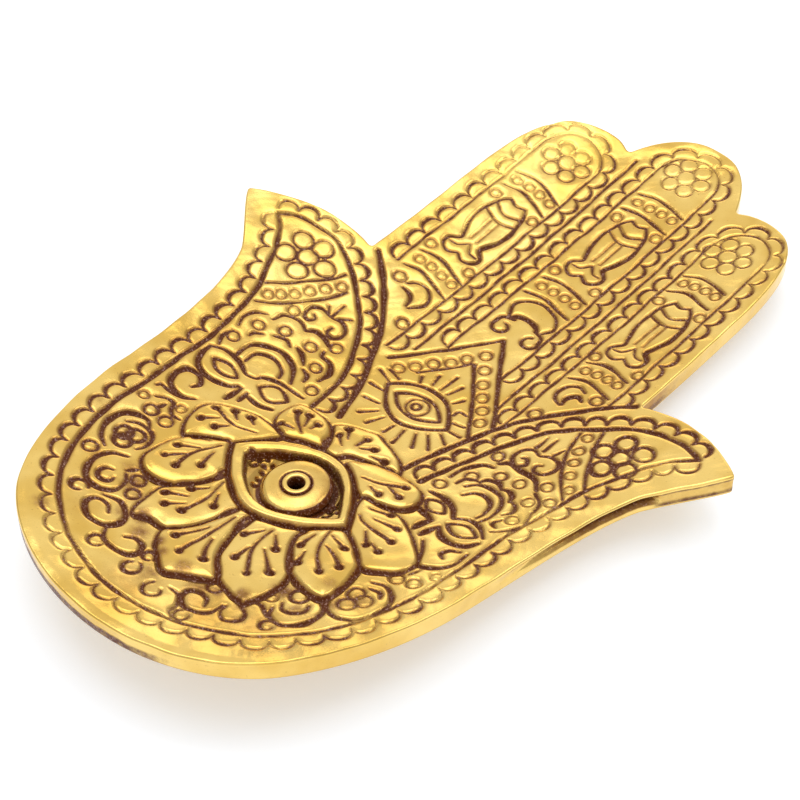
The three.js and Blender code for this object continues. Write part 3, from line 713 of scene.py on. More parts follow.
# %% [markdown]
# ## Scrolls of the lower palm
# Vine scrolls fill the space between the lotus and the border. A spiral formula would make them all
# alike. They were cut freehand, and no two are the same, so each is its own short curve, and most of
# them end in a curl. Berries hang between them.

# %% Scrolls, curls and ringlets
BOLD_SCROLLS = [
    [
        (-27.6, 3.8), (-27.3, 5.4), (-28.9, 6.8), (-31, 6.2), (-31.7, 4), (-30.8, 1.7), (-28.6, 0.8),
        (-26.8, 1), (-25.2, 2.2),
    ],
    [
        (-24.8, -8.5), (-26.5, -7.4), (-28.7, -8.4), (-30, -10.7), (-29.7, -13.6), (-28.2, -16.1),
        (-26, -17.4),
    ],
    [
        (-22, -16), (-24.1, -17.5), (-24.9, -20), (-24, -22.9), (-21.9, -24.8), (-19.4, -24.6),
        (-17.7, -22.8), (-18, -20.2), (-19.2, -18.8),
    ],
    [
        (-12.1, -29.4), (-10.6, -31.3), (-8, -31.8), (-5.5, -31), (-4.8, -29.4), (-5.7, -27.9),
        (-7.4, -27.6), (-8.8, -28.6),
    ],
    [
        (-17.8, -24.9), (-15, -23.8), (-12.3, -25), (-11.5, -27.3), (-12.8, -29.4), (-15.5, -30.1),
        (-17.9, -28.8), (-18.3, -27), (-17.2, -25.9), (-15.4, -25.9), (-14.2, -26.9),
    ],
    [
        (25.3, -7.8), (27.6, -7), (29.9, -8.3), (31.3, -10.8), (31.2, -14), (29.7, -16.8), (27, -18),
        (24.5, -17.3), (23, -15.3),
    ],
    [
        (22.6, -16.2), (24.6, -18.1), (25.2, -20.5), (24.4, -23.3), (22.2, -25.2), (19.6, -24.8),
        (18.6, -23),
    ],
    [
        (11.1, -30.3), (10.2, -28.8), (8.5, -28.5), (6.8, -29.5), (7, -31.3), (8.8, -32.5), (11.2, -32),
        (12.8, -30.2), (13, -28),
    ],
    [(31.8, 7), (32, 4), (31, 1.6), (29, 0.4), (27.3, 0.4), (25.8, 3.4), (24.2, 5.4)],
]
LIGHT_SCROLLS = [
    [(-31.5, -0.9), (-31.1, 0), (-29.3, 0.1), (-27, 0.7)],
    [(-29.8, -2.8), (-28.4, -1.4), (-26.8, -1.2), (-26, -2.6), (-24.8, -3.4), (-23.2, -3.2)],
    [(-28, -10.6), (-26.5, -9.1), (-24.3, -8.9), (-22.7, -10.1), (-22, -12.2), (-22.4, -13.8)],
    [(22.2, -18.6), (22.8, -20.2), (21.7, -22), (20, -22.3), (18.9, -21.2)],
    [(15.1, -26.2), (16.8, -27), (17, -29), (15.4, -30.2), (13.7, -29.3), (13.4, -27.6)],
    [(15, -24), (17, -23.8), (19.6, -25.3)],
    [(4.3, -31.1), (6.4, -31.3), (8, -33.2), (8.3, -35), (10, -36)],
    [(26, -9.2), (28, -8.8), (29.1, -10.2)],
    [(30.6, 6.8), (29, 6), (28.6, 4.5), (29.7, 3.7)],
    [(28.8, -0.6), (28.2, -2.6)],
    [(-27.5, -2.4), (-27.8, -4.4)],
    [(-18.7, -16.4), (-19.8, -18.3)],
]
# Middle of each curl, its outer radius, the angle where it starts and how far it turns
CURLS = [
    (-21.5, -26.8, 1.5, 30, 300), (-10.7, -32.7, 1.6, 60, 300), (-3.2, -32.4, 1.7, 80, -310),
    (2.9, -33.4, 1.8, 130, 280), (21, -26.7, 1.3, 60, 320), (10, -34.2, 1.4, 40, -280),
    (-20.9, -21.6, 1.7, 100, 290), (-3.2, -28.8, 1.2, 0, 330),
]
# Radius of the berries, width of their cut, how much of the wax is left in it, and their places
BERRIES = [
    (1.45, 0.8, 1, [(-26.4, -12.6), (-24.6, -11.6), (-25.2, -14.2)]),
    (1.45, 0.65, 0.9, [(25.5, -11.5), (27.7, -12.2), (26.1, -14.4), (19.5, -18.2)]),
    (1.2, 0.6, 0.9, [(-27.8, -5.4), (-24.5, -5.3), (-27.2, -19.3), (-17, -18.2), (-15.2, -21), (9, -26)]),
    (1.2, 0.6, 0.8, [(30.3, -3.8), (27.4, -4.5)]),
    (0.9, 0.45, FAINT, [(-25, -1.2), (-31, -4.2), (32, -0.5), (16.8, -21.4)]),
]
for stops in BOLD_SCROLLS:
    swell(*stops, thin=0.55, thick=1.25)
for stops in LIGHT_SCROLLS:
    swell(*stops, thin=0.45, thick=0.85)
for x, y, radius, start, turned in CURLS:
    swell(*spiral(x, y, radius, 0.7 * radius, start, turned), thin=0.5, thick=0.9)
for radius, width, wax, places in BERRIES:
    ringlets(radius, *places, width=width, wax=wax)
print(len(BOLD_SCROLLS) + len(LIGHT_SCROLLS), "scrolls and", len(CURLS), "curls")

# %% [markdown]
# ## The lotus
# Ten petals stand round the eye, a millimetre proud of the palm. Each could be a mesh of its own, but
# the real ones are pressed out of the palm with no seam. So each is a closed curve, inside which the
# sheet is raised into a low dome, and its edge is cut afterwards. The lower petals are cut more boldly
# than the upper ones, and the whole flower sits a little off the middle.

# %% Petals
LOTUS = np.array([0.6, -0.7])  # place of the flower's middle
FRONT_RISE, BACK_RISE = 1.3, 0.9  # heights of the petals in front and of those behind them
DOME = 3.2  # how far in from its edge a petal still rises
HEEL_PETAL = [
    (-1.7, -10), (-2.9, -15), (-4.6, -19.7), (-6.5, -22.6), (-5.2, -25.2), (-2.4, -27.4), (0.7, -29),
    (3.6, -27.2), (6, -25.8), (7.4, -23.9), (3.5, -20), (1.8, -15), (1.3, -10),
]
LOWER_RIGHT = [
    (1.3, -10), (1.8, -15), (3.5, -20), (7, -23.6), (10.5, -24.6), (13.4, -25), (14.5, -25.1),
    (14.9, -23.8), (15.4, -21.5), (15.3, -18), (14, -14.5), (11.3, -11.4), (9.1, -8.4), (8.7, -6.4),
]
LOWER_LEFT = [
    (-1.9, -10), (-2.9, -15), (-4.6, -19.7), (-6.4, -22), (-9.5, -22.4), (-12.4, -23.6), (-13.8, -19.6),
    (-14.2, -16.3), (-12.4, -13.4), (-10.6, -11), (-9.5, -8), (-9.4, -5.6),
]
SLANT_RIGHT = [
    (8.9, -6), (9.3, -9), (11.4, -12), (14.3, -15), (18, -16.1), (22.1, -15.7), (22.6, -12), (22, -8.6),
    (21, -6.3), (18, -3.8), (14, -1.4), (11.5, -2.5),
]
SLANT_LEFT = [
    (-9.3, -5.8), (-9.6, -8.5), (-10.8, -11.5), (-12.5, -13.7), (-15.3, -15.4), (-18, -15.6),
    (-20.6, -14), (-21.3, -10), (-20.7, -6), (-18.5, -3), (-16, -1), (-14, 0),
]
SIDE_RIGHT = [
    (9.5, 6.8), (13, 7.3), (17, 7.6), (21, 6), (25, 3), (27, 0.7), (26.5, -2.5), (24, -5), (21.3, -6.2),
    (18, -3.8), (14, -1.3), (12, 1),
]
SIDE_LEFT = [
    (-10, 7.6), (-13, 8.6), (-16.5, 8.6), (-19.5, 7.2), (-22.7, 5), (-23.9, 2), (-23, -2),
    (-20.7, -4.8), (-18.5, -2.5), (-16.3, -0.8), (-14, 0.2), (-12.3, 3.2),
]
UPPER_RIGHT = [
    (1.5, 11), (4, 13.8), (8.5, 15.5), (12, 15.5), (15, 15), (16.7, 12.8), (16.7, 10), (14.5, 8),
    (10.5, 7.2), (8, 7),
]
UPPER_LEFT = [
    (-3.6, 11.3), (-4.8, 14), (-7, 16.2), (-10, 17), (-13.5, 16.4), (-14.6, 14), (-14.5, 11), (-13, 9),
    (-9.7, 8), (-7, 9.5),
]
TOP_PETAL = [
    (-4, 11.5), (-5, 14.4), (-6.8, 16.8), (-4.5, 18.9), (-2, 20.2), (0.3, 20.9), (3, 20), (5.2, 19.2),
    (7.6, 18), (9.3, 15.8), (6, 14.7), (3, 14), (0.3, 13), (-1, 11),
]
PETALS = [
    (TOP_PETAL, BACK_RISE), (SIDE_RIGHT, BACK_RISE), (SIDE_LEFT, BACK_RISE), (LOWER_RIGHT, BACK_RISE),
    (LOWER_LEFT, BACK_RISE), (UPPER_RIGHT, FRONT_RISE), (UPPER_LEFT, FRONT_RISE),
    (SLANT_RIGHT, FRONT_RISE), (SLANT_LEFT, FRONT_RISE), (HEEL_PETAL, FRONT_RISE),
]

petal_edges = [curve(np.add(stops, LOTUS), closed=True) for stops, _ in PETALS]
for edge, (_, rise) in zip(petal_edges, PETALS):
    erase(edge[:-1])
    spot, depth = depth_inside(edge[:-1])
    crown = 0.5 + 0.5 * (1 - (1 - np.clip(depth / DOME, 0, 1)) ** 2)
    lift[spot] = np.maximum(lift[spot], rise * ease(0.5 + depth / 0.6) * crown)
for edge in petal_edges:
    engrave(edge, np.interp(edge[:, 1], [-15, 10], [0.85, 0.65]))
print(len(PETALS), "petals raised by", BACK_RISE, "to", FRONT_RISE, "mm")

# %% [markdown]
# ## Veins of the petals
# Three to five strokes spread over each petal, and every one ends in a round pit. A loop could fan them
# out evenly, but the maker set each by eye, so each has its own two or three stops, the last of them at
# its pit.

# %% Veins
VEINS = [
    [(-0.3, -12.3), (-0.5, -18), (-0.7, -24.2)], [(-1.6, -17), (-3.7, -22.2)],
    [(0.7, -18.5), (1.6, -20.8), (3.2, -22.8)], [(5.6, -10), (6.4, -15), (9.7, -19.8)],
    [(4.8, -11), (3.2, -13.9)], [(5.9, -15.3), (5.8, -18.6)], [(6.8, -10.5), (9.2, -12.6)],
    [(8, -14), (12.2, -17.2)], [(-7.8, -7.8), (-7, -12), (-7.6, -17.5)], [(-6.2, -10.5), (-5, -12.9)],
    [(-8.3, -10.7), (-10.3, -12.8)], [(-9.3, -14.5), (-12.5, -16.5)], [(-8.4, -15.9), (-10.4, -18.5)],
    [(12.1, -3.6), (14, -8), (17.7, -11.9)], [(13.3, -4.2), (16.5, -4.9)],
    [(14.3, -6.6), (17, -7.4), (19.4, -9)], [(11, -6), (11.3, -9.3)], [(13, -10), (13.7, -12.6)],
    [(-14.4, -2), (-15.9, -7), (-15.5, -11)], [(-13.8, -4.2), (-12.9, -8)], [(-16, -5.3), (-19, -7.6)],
    [(-16.4, -8), (-18.4, -10.9)], [(-16.8, -2.5), (-19, -3.8)], [(12.3, 3.2), (14.5, 2), (20.6, 1.5)],
    [(14.9, 3.8), (19.1, 4.7)], [(15.8, 0.7), (18, -1.6)], [(18.6, -1), (20.7, -1.6)],
    [(12.4, 5.4), (15.9, 6.6)], [(-13.2, 4.9), (-17, 3.4), (-21.8, 3.9)], [(-17.4, 4.7), (-19.3, 5.9)],
    [(-14.9, 6), (-16.6, 7.1)], [(-19.6, 2.4), (-21.6, 0.1)], [(-17.2, 2.4), (-18.6, 0.4)],
    [(6.3, 10), (9.5, 11), (13, 13.4)], [(10.8, 11.5), (14, 10.6)], [(8.8, 9.2), (11, 9)],
    [(-8.2, 10.5), (-11, 12.3), (-12.5, 14.1)], [(-9, 11.8), (-10.6, 14.8)], [(-8, 12.2), (-8, 14.1)],
    [(-9.8, 10.2), (-12.4, 9.7)], [(-0.2, 15.5), (0, 18.2)], [(-2.3, 15.6), (-4, 17.7)],
    [(-2, 13.8), (-4.2, 15.3)], [(0.8, 15.6), (2.7, 17)], [(3.4, 15.4), (5.8, 15.9)],
]
for stops in VEINS:
    vein(*np.add(stops, LOTUS))
print(len(VEINS), "veins on", len(PETALS), "petals")

# %% [markdown]
# ## The eye
# Two lids stand up round an almond opening, flat on top and steep inside. The opening is a pocket,
# deepest round the iris, with punched pits in its corners. It could be a boolean cut, but lowering the
# sheet keeps one skin. What the petals cut into the lids is polished away before the lids' own line is
# cut. The joint round the iris keeps most of the wax. The steep wall of the pocket is painted dark brown
# as shade under the lids, with wax in it too.

# %% Lids and pocket
LID_RISE, LID_FALL = 1.2, 0.25  # height of the lids, and how much lower their inner brink is
POCKET, CORNER_POCKET = 1.9, 1.0  # depth of the opening round the iris, and in its corners
POCKET_WALL = 0.5  # how far in the wall of the opening reaches
IRIS_OUT, IRIS_UP = 0.6, 0.3  # middle of the iris
IRIS_HALF_WIDE, IRIS_HALF_TALL = 6.0, 6.2
PIT_WIDTH = 1.05
LID_EDGE = almond((-14, 0.2), (13.2, -0.6), 11, 9.5) + LOTUS
OPENING = almond((-11.1, 0), (10.9, -0.1), 8.7, 7.2) + LOTUS

erase(LID_EDGE)
spot, lid_depth = depth_inside(LID_EDGE)
open_depth = np.full(X.shape, -REACH)
open_spot, inner = depth_inside(OPENING)
open_depth[open_spot] = inner
lid_top = LID_RISE * ease(0.3 + lid_depth / 1.4) - LID_FALL * ease(1 + open_depth[spot] / 1.2)
lift[spot] = np.where(lid_depth > 0, lid_top, lift[spot])
from_iris = np.hypot((U - IRIS_OUT) / IRIS_HALF_WIDE, (V - IRIS_UP) / IRIS_HALF_TALL) - 1
floor_depth = CORNER_POCKET + (POCKET - CORNER_POCKET) * ease(1.4 - from_iris / 0.3)
brink = LID_RISE - LID_FALL
lift = np.where(open_depth > 0, brink - (brink + floor_depth) * ease(open_depth / POCKET_WALL), lift)
engrave(LID_EDGE, LINE)
CORNER_PITS = [
    (-7.9, 2), (-6.5, 1.9), (-8.7, 0.9), (-7.4, 0.5), (-6.6, -0.7), (-8.5, -0.5), (-5.9, -2.2),
    (-5.3, -3.7), (-9.8, 0.3), (8.9, 1.3), (8.2, -0.2), (7.7, -1.6), (7.1, 1.1), (7.4, 2.4),
]
for x, y in CORNER_PITS:
    pit(x, y, PIT_WIDTH)
# Painted shade with wax: the steep wall of the opening is darkened as if shaded by the lids, and the joint
# round the iris holds wax.
wall_wax_and_shade = ease((0.7 - open_depth) / 0.35)
joint_wax = ease(1.5 - from_iris / 0.12)
pocket_wax_and_shade = ease(open_depth / 0.3) * np.maximum(wall_wax_and_shade, joint_wax)
print("the eye opens", round(float(np.ptp(OPENING[:, 0])), 1), "mm wide and", POCKET, "mm deep")

# %% [markdown]
# ## From numbers to metal
# The raised, cut and rounded amounts are added to the dish. The rim of the heel is rolled off, and low
# waves stand for the marks of hammer and polishing wheel. A mask for the finish could be painted by
# hand, but worked out from the same numbers it puts the brown where wax really stays. Patina is the
# brown in the cuts. Stain is the faint brown near them, on steep flanks that the wheel missed and on
# patches that were polished less. Dark smudges lie round the lower petals. In the eye's opening both
# are also painted shade.

# %% Heights, patina and stain
ROUND_OVER, ROUND_REACH = 0.12, 0.25  # how deep and how far the metal rounds over towards a cut
BEATEN, RIPPLE = 0.045, 0.009  # heights of the broad and the fine waves left by hammer and polishing wheel
ROLL, ROLL_REACH = 0.45, 1.8  # how deep and how far in the rim of the heel is rolled off
FLANK_FROM, FLANK_SPAN = 0.45, 0.6  # slope where a flank begins to stay brown, and how much more is full
STAIN_REACH = 0.42  # how far the stain spreads from a cut
# The pocket amounts paint shade over the whole opening of the eye, with some wax.
SMUDGE_BROWN, FLANK_BROWN, POCKET_SHADE_BROWN = 0.58, 0.25, 0.15
FLANK_STAIN, POCKET_SHADE_TINT = 0.7, 0.6
# Where the rim is rolled off: middle, spread and strength
ROLLED = [
    (-33, -18, 12, 0.8), (-26, -34, 12, 1), (-12, -44, 12, 0.9), (4, -45, 12, 0.9), (18, -40, 10, 0.7),
]
# Dark smudges, and dull patches that were polished less: middle, spread and strength
SMUDGES = [
    (-10, -23.5, 2.2, 0.9), (17, -19, 2.4, 0.9), (22, -21, 2.4, 0.7), (3, -27, 2, 0.8),
    (-2, -27.3, 1.8, 0.8), (-21.7, -34.3, 1.8, 0.7), (27, -13, 2.8, 0.7), (-14, -21, 2, 0.7),
    (25, -16, 2, 0.7), (15, -26, 1.8, 0.8), (-33.8, -11, 1.6, 0.5), (-25.5, -12.5, 2.2, 0.7),
    (-8, -26, 2.4, 0.8), (17, -29, 2, 0.6), (-17, -19.5, 2.8, 0.8), (-20, -17, 2.2, 0.6),
    (-13, -25, 2.2, 0.7), (-4, -26, 1.7, 0.9), (13.6, -24.4, 1.6, 0.9), (7, -28, 2.6, 0.8),
    (10, -26.5, 2, 0.7), (0, -31, 2.4, 0.7), (21.5, -13.5, 1.8, 0.6),
]
DULL = [(0, -34, 8, 0.6), (11, -31, 8, 0.6), (20, -27, 7, 0.6), (27, -10, 6, 0.35), (-18, -29, 7, 0.4)]
beaten = np.sin(0.7 * X + 2 * np.sin(0.31 * Y)) + np.sin(0.83 * Y + 1.7 * np.sin(0.37 * X + 1))
ripple = np.sin(2.3 * X + 1.7 * np.sin(0.9 * Y)) * np.sin(2.1 * Y + 1.9 * np.sin(0.8 * X))
rounded = ROUND_OVER * np.exp(-np.maximum(clear, 0) / ROUND_REACH)
roll = ROLL * ease((ROLL_REACH - inset) / ROLL_REACH) * patches(ROLLED)
top_height = palm(X, Y) + lift - rounded - cut - roll + BEATEN * beaten + RIPPLE * ripple
smudged = patches(SMUDGES)
steepness = np.hypot(*np.gradient(lift - rounded, PITCH))
flank = ease((steepness - FLANK_FROM) / FLANK_SPAN)
in_pocket = ease(open_depth / POCKET_WALL)
brown_and_shade = [kept * ink, pocket_wax_and_shade, POCKET_SHADE_BROWN * in_pocket, SMUDGE_BROWN * smudged, FLANK_BROWN * flank]
patina_and_shade = np.maximum.reduce(brown_and_shade)
near_cut = kept * np.exp(-np.maximum(clear, 0) / STAIN_REACH)
faint_and_shade = [near_cut, POCKET_SHADE_TINT * in_pocket, smudged, patches(DULL), FLANK_STAIN * flank]
stain_and_shade = np.maximum.reduce(faint_and_shade)
print("cut to", round(float(cut.max()), 2), "mm, raised to", round(float(lift.max()), 2), "mm")

# %% [markdown]
# ## A skin over the sheet
# The sheet is square and the hand is not. Whole squares are kept inside the edge. Points that lie close
# to the edge are moved onto it, and the squares that the edge still crosses are cut along it. A remesh
# or a boolean cut would also fit an outline, but both leave ragged slivers there, and this keeps the
# edge as smooth as the drawing. Two helpers come first: one reads the sheet between its points, and one
# walks along the open edge of a skin.

# %% Reading the sheet and finding a skin's edge
def sample(field, places):
    """A field of the sheet at any places, read between its points."""
    at = (places - SHEET_LOW) / PITCH
    low = np.clip(np.floor(at).astype(int), 0, np.array(field.shape[::-1]) - 2)
    right, up = (at - low).T
    column, row = low.T
    lower = field[row, column] * (1 - right) + field[row, column + 1] * right
    upper = field[row + 1, column] * (1 - right) + field[row + 1, column + 1] * right
    return lower * (1 - up) + upper * up


def edge_loops(faces):
    """The open edges of a skin, as loops of point numbers, the longest first."""
    edges = {pair for face in faces for pair in zip(face, face[1:] + face[:1])}
    ahead = {a: b for a, b in edges if (b, a) not in edges}
    loops = []
    while ahead:
        loop = [min(ahead)]
        while ahead.get(loop[-1]) is not None:
            loop.append(ahead.pop(loop[-1]))
        loops.append(loop[:-1])
    return sorted(loops, key=len, reverse=True)


middle_height = sample(top_height, np.array([[IRIS_OUT, IRIS_UP]]))[0]
print("the pocket's bottom lies at", round(float(middle_height), 2), "mm over the lowest point of the dish")

# %% [markdown]
# ## Trimming to the edge
# Both faces of the casting are trimmed alike: they stop short of the edge by the radius of their rim,
# and they leave out the hole for the iris plug. Two meshes could be made in two ways, but one function
# serves for both. A plain face needs fewer points, so the underside has squares five times as wide.

# %% Upper and lower skin
SNAP = 0.3  # share of a square within which a point is moved onto the edge
LIP, FOOT = 0.4, 0.5  # radius of the upper and of the lower rim
BORE = 4.5  # radius of the hole for the iris plug
COARSE = 5  # how many times wider the squares of the underside are


def skin(level, step=1):
    """Points and faces over the part of the sheet where level is positive, and the loops round it."""
    level = level[::step, ::step].copy()
    places = np.stack([X[::step, ::step], Y[::step, ::step]], -1)
    slope = np.stack(np.gradient(level, PITCH * step)[::-1], -1)
    close = np.abs(level) < SNAP * PITCH * step
    places[close] -= (level / np.maximum((slope**2).sum(-1), 0.5))[close][:, None] * slope[close]
    level[close] = 0
    number = np.arange(level.size).reshape(level.shape)
    square_corners = [number[:-1, :-1], number[:-1, 1:], number[1:, 1:], number[1:, :-1]]
    squares = np.stack(square_corners, -1).reshape(-1, 4)
    flat, places = level.ravel(), places.reshape(-1, 2)
    sides = flat[squares]
    some = (sides > 0).any(1)
    faces = squares[some & (sides >= 0).all(1)].tolist()
    cuts, crossing = [], {}
    for square in squares[some & (sides < 0).any(1)].tolist():
        face = []
        for a, b in zip(square, square[1:] + square[:1]):
            if flat[a] >= 0:
                face.append(a)
            if flat[a] * flat[b] < 0:
                pair = (min(a, b), max(a, b))
                if pair not in crossing:
                    crossing[pair] = level.size + len(cuts)
                    cuts.append(places[a] + flat[a] / (flat[a] - flat[b]) * (places[b] - places[a]))
                face.append(crossing[pair])
        if len(face) > 2:
            faces.append(face)
    places = np.concatenate([places, np.reshape(cuts, (-1, 2))])
    used = np.unique(np.fromiter(chain.from_iterable(faces), int))
    fresh = np.zeros(len(places), int)
    fresh[used] = np.arange(len(used))
    fresh = fresh.tolist()
    faces = [[fresh[n] for n in face] for face in faces]
    return places[used], faces, edge_loops(faces)


bore_clear = np.hypot(X - IRIS_OUT, Y - IRIS_UP) - BORE
top_places, top_faces, (top_edge, top_bore) = skin(np.minimum(inset - LIP, bore_clear))
low_places, low_faces, (low_edge, low_bore) = skin(np.minimum(inset - FOOT, bore_clear), COARSE)
print("upper skin:", len(top_faces), "faces; underside:", len(low_faces), "faces")

# %% [markdown]
# ## Rim, wall and underside
# From the upper skin's edge the lip rolls over to a wall four millimetres tall, and a similar radius
# leads under it. Below each thumb the wall is undercut by a cove, as a mould may leave it, and the cove
# is painted dark brown as shade under the lip, with some dirt. Brown stays low on the heel, on the ends
# of the thumbs and in the webs beside the fingers, and the left of the heel is dull. A bevel could round
# the rim, but it couldn't let a cove fade in and out, so each of these is first worked out along the edge.

# %% Cove and stains along the edge
COVE_DEPTH = 2.2
COVE_FROM, COVE_FULL = 3.0, 31.0  # how far up the hand it starts and is full
COVE_FADES, COVE_TO = 35.0, 37.0  # how far up it fades and ends
COVE_OUT, TIP_OUT = 32.0, 40.0  # coves and thumb tips lie farther out than this
WEB_OUT, WEB_UP, WEB_SPREAD = 31.0, 55.0, 7.0  # where thumb and finger meet
HEEL_TOP, HEEL_FADE, HEEL_RIGHT = -22.0, 10.0, 22.0  # the brown of the heel lies below and left of this
LEFT_OF, LEFT_TOP, SIDE_FADE = -6.0, 2.0, 16.0  # the dull part lies left of and below this
RIM_SOFTENING = 5  # neighbours on each side that smooth the way out
FILE_WAVE = 0.025  # depth of the marks that a file left
edge_places = top_places[top_edge]
slope_up, slope_out = np.gradient(inset, PITCH)
outward = -np.stack([sample(slope_out, edge_places), sample(slope_up, edge_places)], 1)
outward = sum(np.roll(outward, n, 0) for n in range(-RIM_SOFTENING, RIM_SOFTENING + 1))
outward /= np.linalg.norm(outward, axis=1)[:, None]
foot_places = edge_places + LIP * outward
lip_height = sample(top_height, edge_places)
foot_height = underside(*foot_places.T)
sideways, rise = foot_places.T
far_out = np.abs(sideways)
cove = ease((rise - COVE_FROM) / (COVE_FULL - COVE_FROM)) * ease((COVE_TO - rise) / (COVE_TO - COVE_FADES))
cove *= far_out > COVE_OUT
tip_stain = ease((rise - COVE_FADES) / 2) * (far_out > TIP_OUT)
web_stain = np.exp(-((far_out - WEB_OUT) ** 2 + (rise - WEB_UP) ** 2) / WEB_SPREAD**2)
heel_stain = ease((HEEL_TOP - rise) / HEEL_FADE) * ease((HEEL_RIGHT - sideways) / SIDE_FADE)
left_stain = ease((LEFT_OF - sideways) / SIDE_FADE) * ease((LEFT_TOP - rise) / SIDE_FADE)
around = len(top_edge)
run = np.arange(around) * 2 * np.pi / around
file_marks = FILE_WAVE * (np.sin(37 * run) + np.sin(61 * run + 2) + 0.6 * np.sin(149 * run + 1))
print("a cove", COVE_DEPTH, "mm deep under each thumb")

# %% [markdown]
# ## The wall as a stack of rings
# Each ring has as many points as the skin's edge, and says how far out it lies, how high, and how brown
# it is. Six rings round the lip, nine go down the wall and five round the foot. Extruding the edge
# would be quicker, but here each ring can move in for the cove and keep its own brown.

# %% Rings of the wall
LIP_ANGLES, FOOT_ANGLES = (15, 30, 45, 60, 75, 90), (0, 22.5, 45, 67.5, 90)
WALL_PARTS = (0.06, 0.14, 0.24, 0.36, 0.46, 0.54, 0.64, 0.8, 0.92)  # how far down the wall each ring lies
LIP_STAIN, WALL_STAIN, FOOT_STAIN = 0.05, 0.25, 0.4  # the least stain of each
# The cove's brown is painted shade under the lip, with some dirt; the heel, tip and web amounts are brown
# low on the wall.
COVE_SHADE_BROWN, HEEL_BROWN, TIP_BROWN, WEB_BROWN = 0.55, 0.75, 0.6, 0.5

zeros = np.zeros(around)
rings = []  # each ring: how far out, height, patina, stain
for angle in np.radians(LIP_ANGLES):
    out = LIP * np.sin(angle) + zeros
    rings.append((out, lip_height - LIP * (1 - np.cos(angle)), zeros, LIP_STAIN + zeros))
for part in WALL_PARTS:
    # The cove takes the upper two thirds of the wall
    hollow = ease((part - 0.02) / 0.16) * ease((0.64 - part) / 0.2)
    out = LIP - COVE_DEPTH * cove * hollow + file_marks * np.sin(np.pi * part)
    height = lip_height - LIP + part * (foot_height + FOOT - lip_height + LIP)
    lower = ease((part - 0.3) / 0.35)
    # In the cove the brown and the stain are painted shade under the lip.
    wall_patina_and_shade = COVE_SHADE_BROWN * cove * ease((0.74 - part) / 0.14) + HEEL_BROWN * heel_stain * lower
    wall_patina_and_shade += TIP_BROWN * tip_stain * (ease((0.2 - part) / 0.12) + ease((part - 0.5) / 0.3))
    wall_patina_and_shade += WEB_BROWN * web_stain * lower
    wall_stain_and_shade = np.maximum(cove * ease((0.8 - part) / 0.14), 0.4 * tip_stain + web_stain)
    wall_stain_and_shade = np.maximum(wall_stain_and_shade, 0.8 * left_stain)
    rings.append((out, height, wall_patina_and_shade, WALL_STAIN + (1 - WALL_STAIN) * wall_stain_and_shade))
for angle in np.radians(FOOT_ANGLES):
    out = LIP - FOOT * (1 - np.cos(angle)) + zeros
    height = foot_height + FOOT * (1 - np.sin(angle))
    rings.append((out, height, 0.6 * heel_stain, FOOT_STAIN + (1 - FOOT_STAIN) * heel_stain))
print("wall of", len(rings), "rings with", around, "points each")

# %% [markdown]
# ## Closing the casting
# The rings are joined with squares. The plain underside has far fewer points on its edge than the wall
# has, so the two are zipped together with triangles, and so are the two ends of the hole for the plug.
# Blender's bridge tool does the same by hand, but as a function it gives the same faces each time.

# %% Zip skin, wall and underside
def zipped(upper, lower, points):
    """Triangles between two loops that run the same way round, one beside or below the other."""
    start = np.linalg.norm(points[lower] - points[upper[0]], axis=1).argmin()
    upper = [*upper, upper[0]]
    lower = [*lower[start:], *lower[: start + 1]]
    i, j, faces = 0, 0, []
    while i < len(upper) - 1 or j < len(lower) - 1:
        more_upper, more_lower = i < len(upper) - 1, j < len(lower) - 1
        across_upper = np.linalg.norm(points[upper[i + 1]] - points[lower[j]]) if more_upper else np.inf
        across_lower = np.linalg.norm(points[upper[i]] - points[lower[j + 1]]) if more_lower else np.inf
        if across_upper <= across_lower:
            faces.append([upper[i], lower[j], upper[i + 1]])
            i += 1
        else:
            faces.append([upper[i], lower[j], lower[j + 1]])
            j += 1
    return faces


ring_points = []
for out, height, _, _ in rings:
    ring_points.append(np.column_stack([edge_places + out[:, None] * outward, height]))
points = np.concatenate(
    [
        np.column_stack([top_places, sample(top_height, top_places)]),
        *ring_points,
        np.column_stack([low_places, underside(*low_places.T)]),
    ]
)
first_ring, first_low = len(top_places), len(top_places) + len(rings) * around
loops = [np.array(top_edge)] + [first_ring + k * around + np.arange(around) for k in range(len(rings))]
wall_faces = []
for upper, lower in zip(loops[:-1], loops[1:]):
    wall_faces += np.stack([upper, lower, np.roll(lower, -1), np.roll(upper, -1)], 1).tolist()
hem_faces = zipped(loops[-1].tolist(), [first_low + n for n in low_edge], points)
bore_faces = zipped(top_bore, [first_low + n for n in low_bore], points)
under_faces = [[first_low + n for n in face[::-1]] for face in low_faces]
print("zipped with", len(hem_faces), "triangles at the foot and", len(bore_faces), "in the hole")

# %% [markdown]
# ## Flat maps for later painting
# Where the finish is to be turned into pictures, each face needs a place on a flat map. Blender can
# unwrap a mesh by itself, but this one is already a drawing. So the upper face is laid out as it is
# drawn, the underside small beside it, and the wall in four strips above that.

# %% Lay out the map
MAP_SPAN = 166.0  # millimetres of the drawing across the whole map
MAP_MARGIN = 0.005
SIDE_MAP, SIDE_WIDE = 0.705, 0.285  # where the column beside the upper face starts, and its width
UNDER_SPAN = 114.0  # millimetres of the underside across that column
BORE_MAP, BORE_TALL = 0.45, 0.02  # the hole's place in the column, and its height there
STRIPS, STRIP_FROM, STRIP_STEP, STRIP_TALL = 4, 0.5, 0.05, 0.045


def corners(faces, table):
    """A row of the table for each corner of each face."""
    return table[np.fromiter(chain.from_iterable(faces), int)]


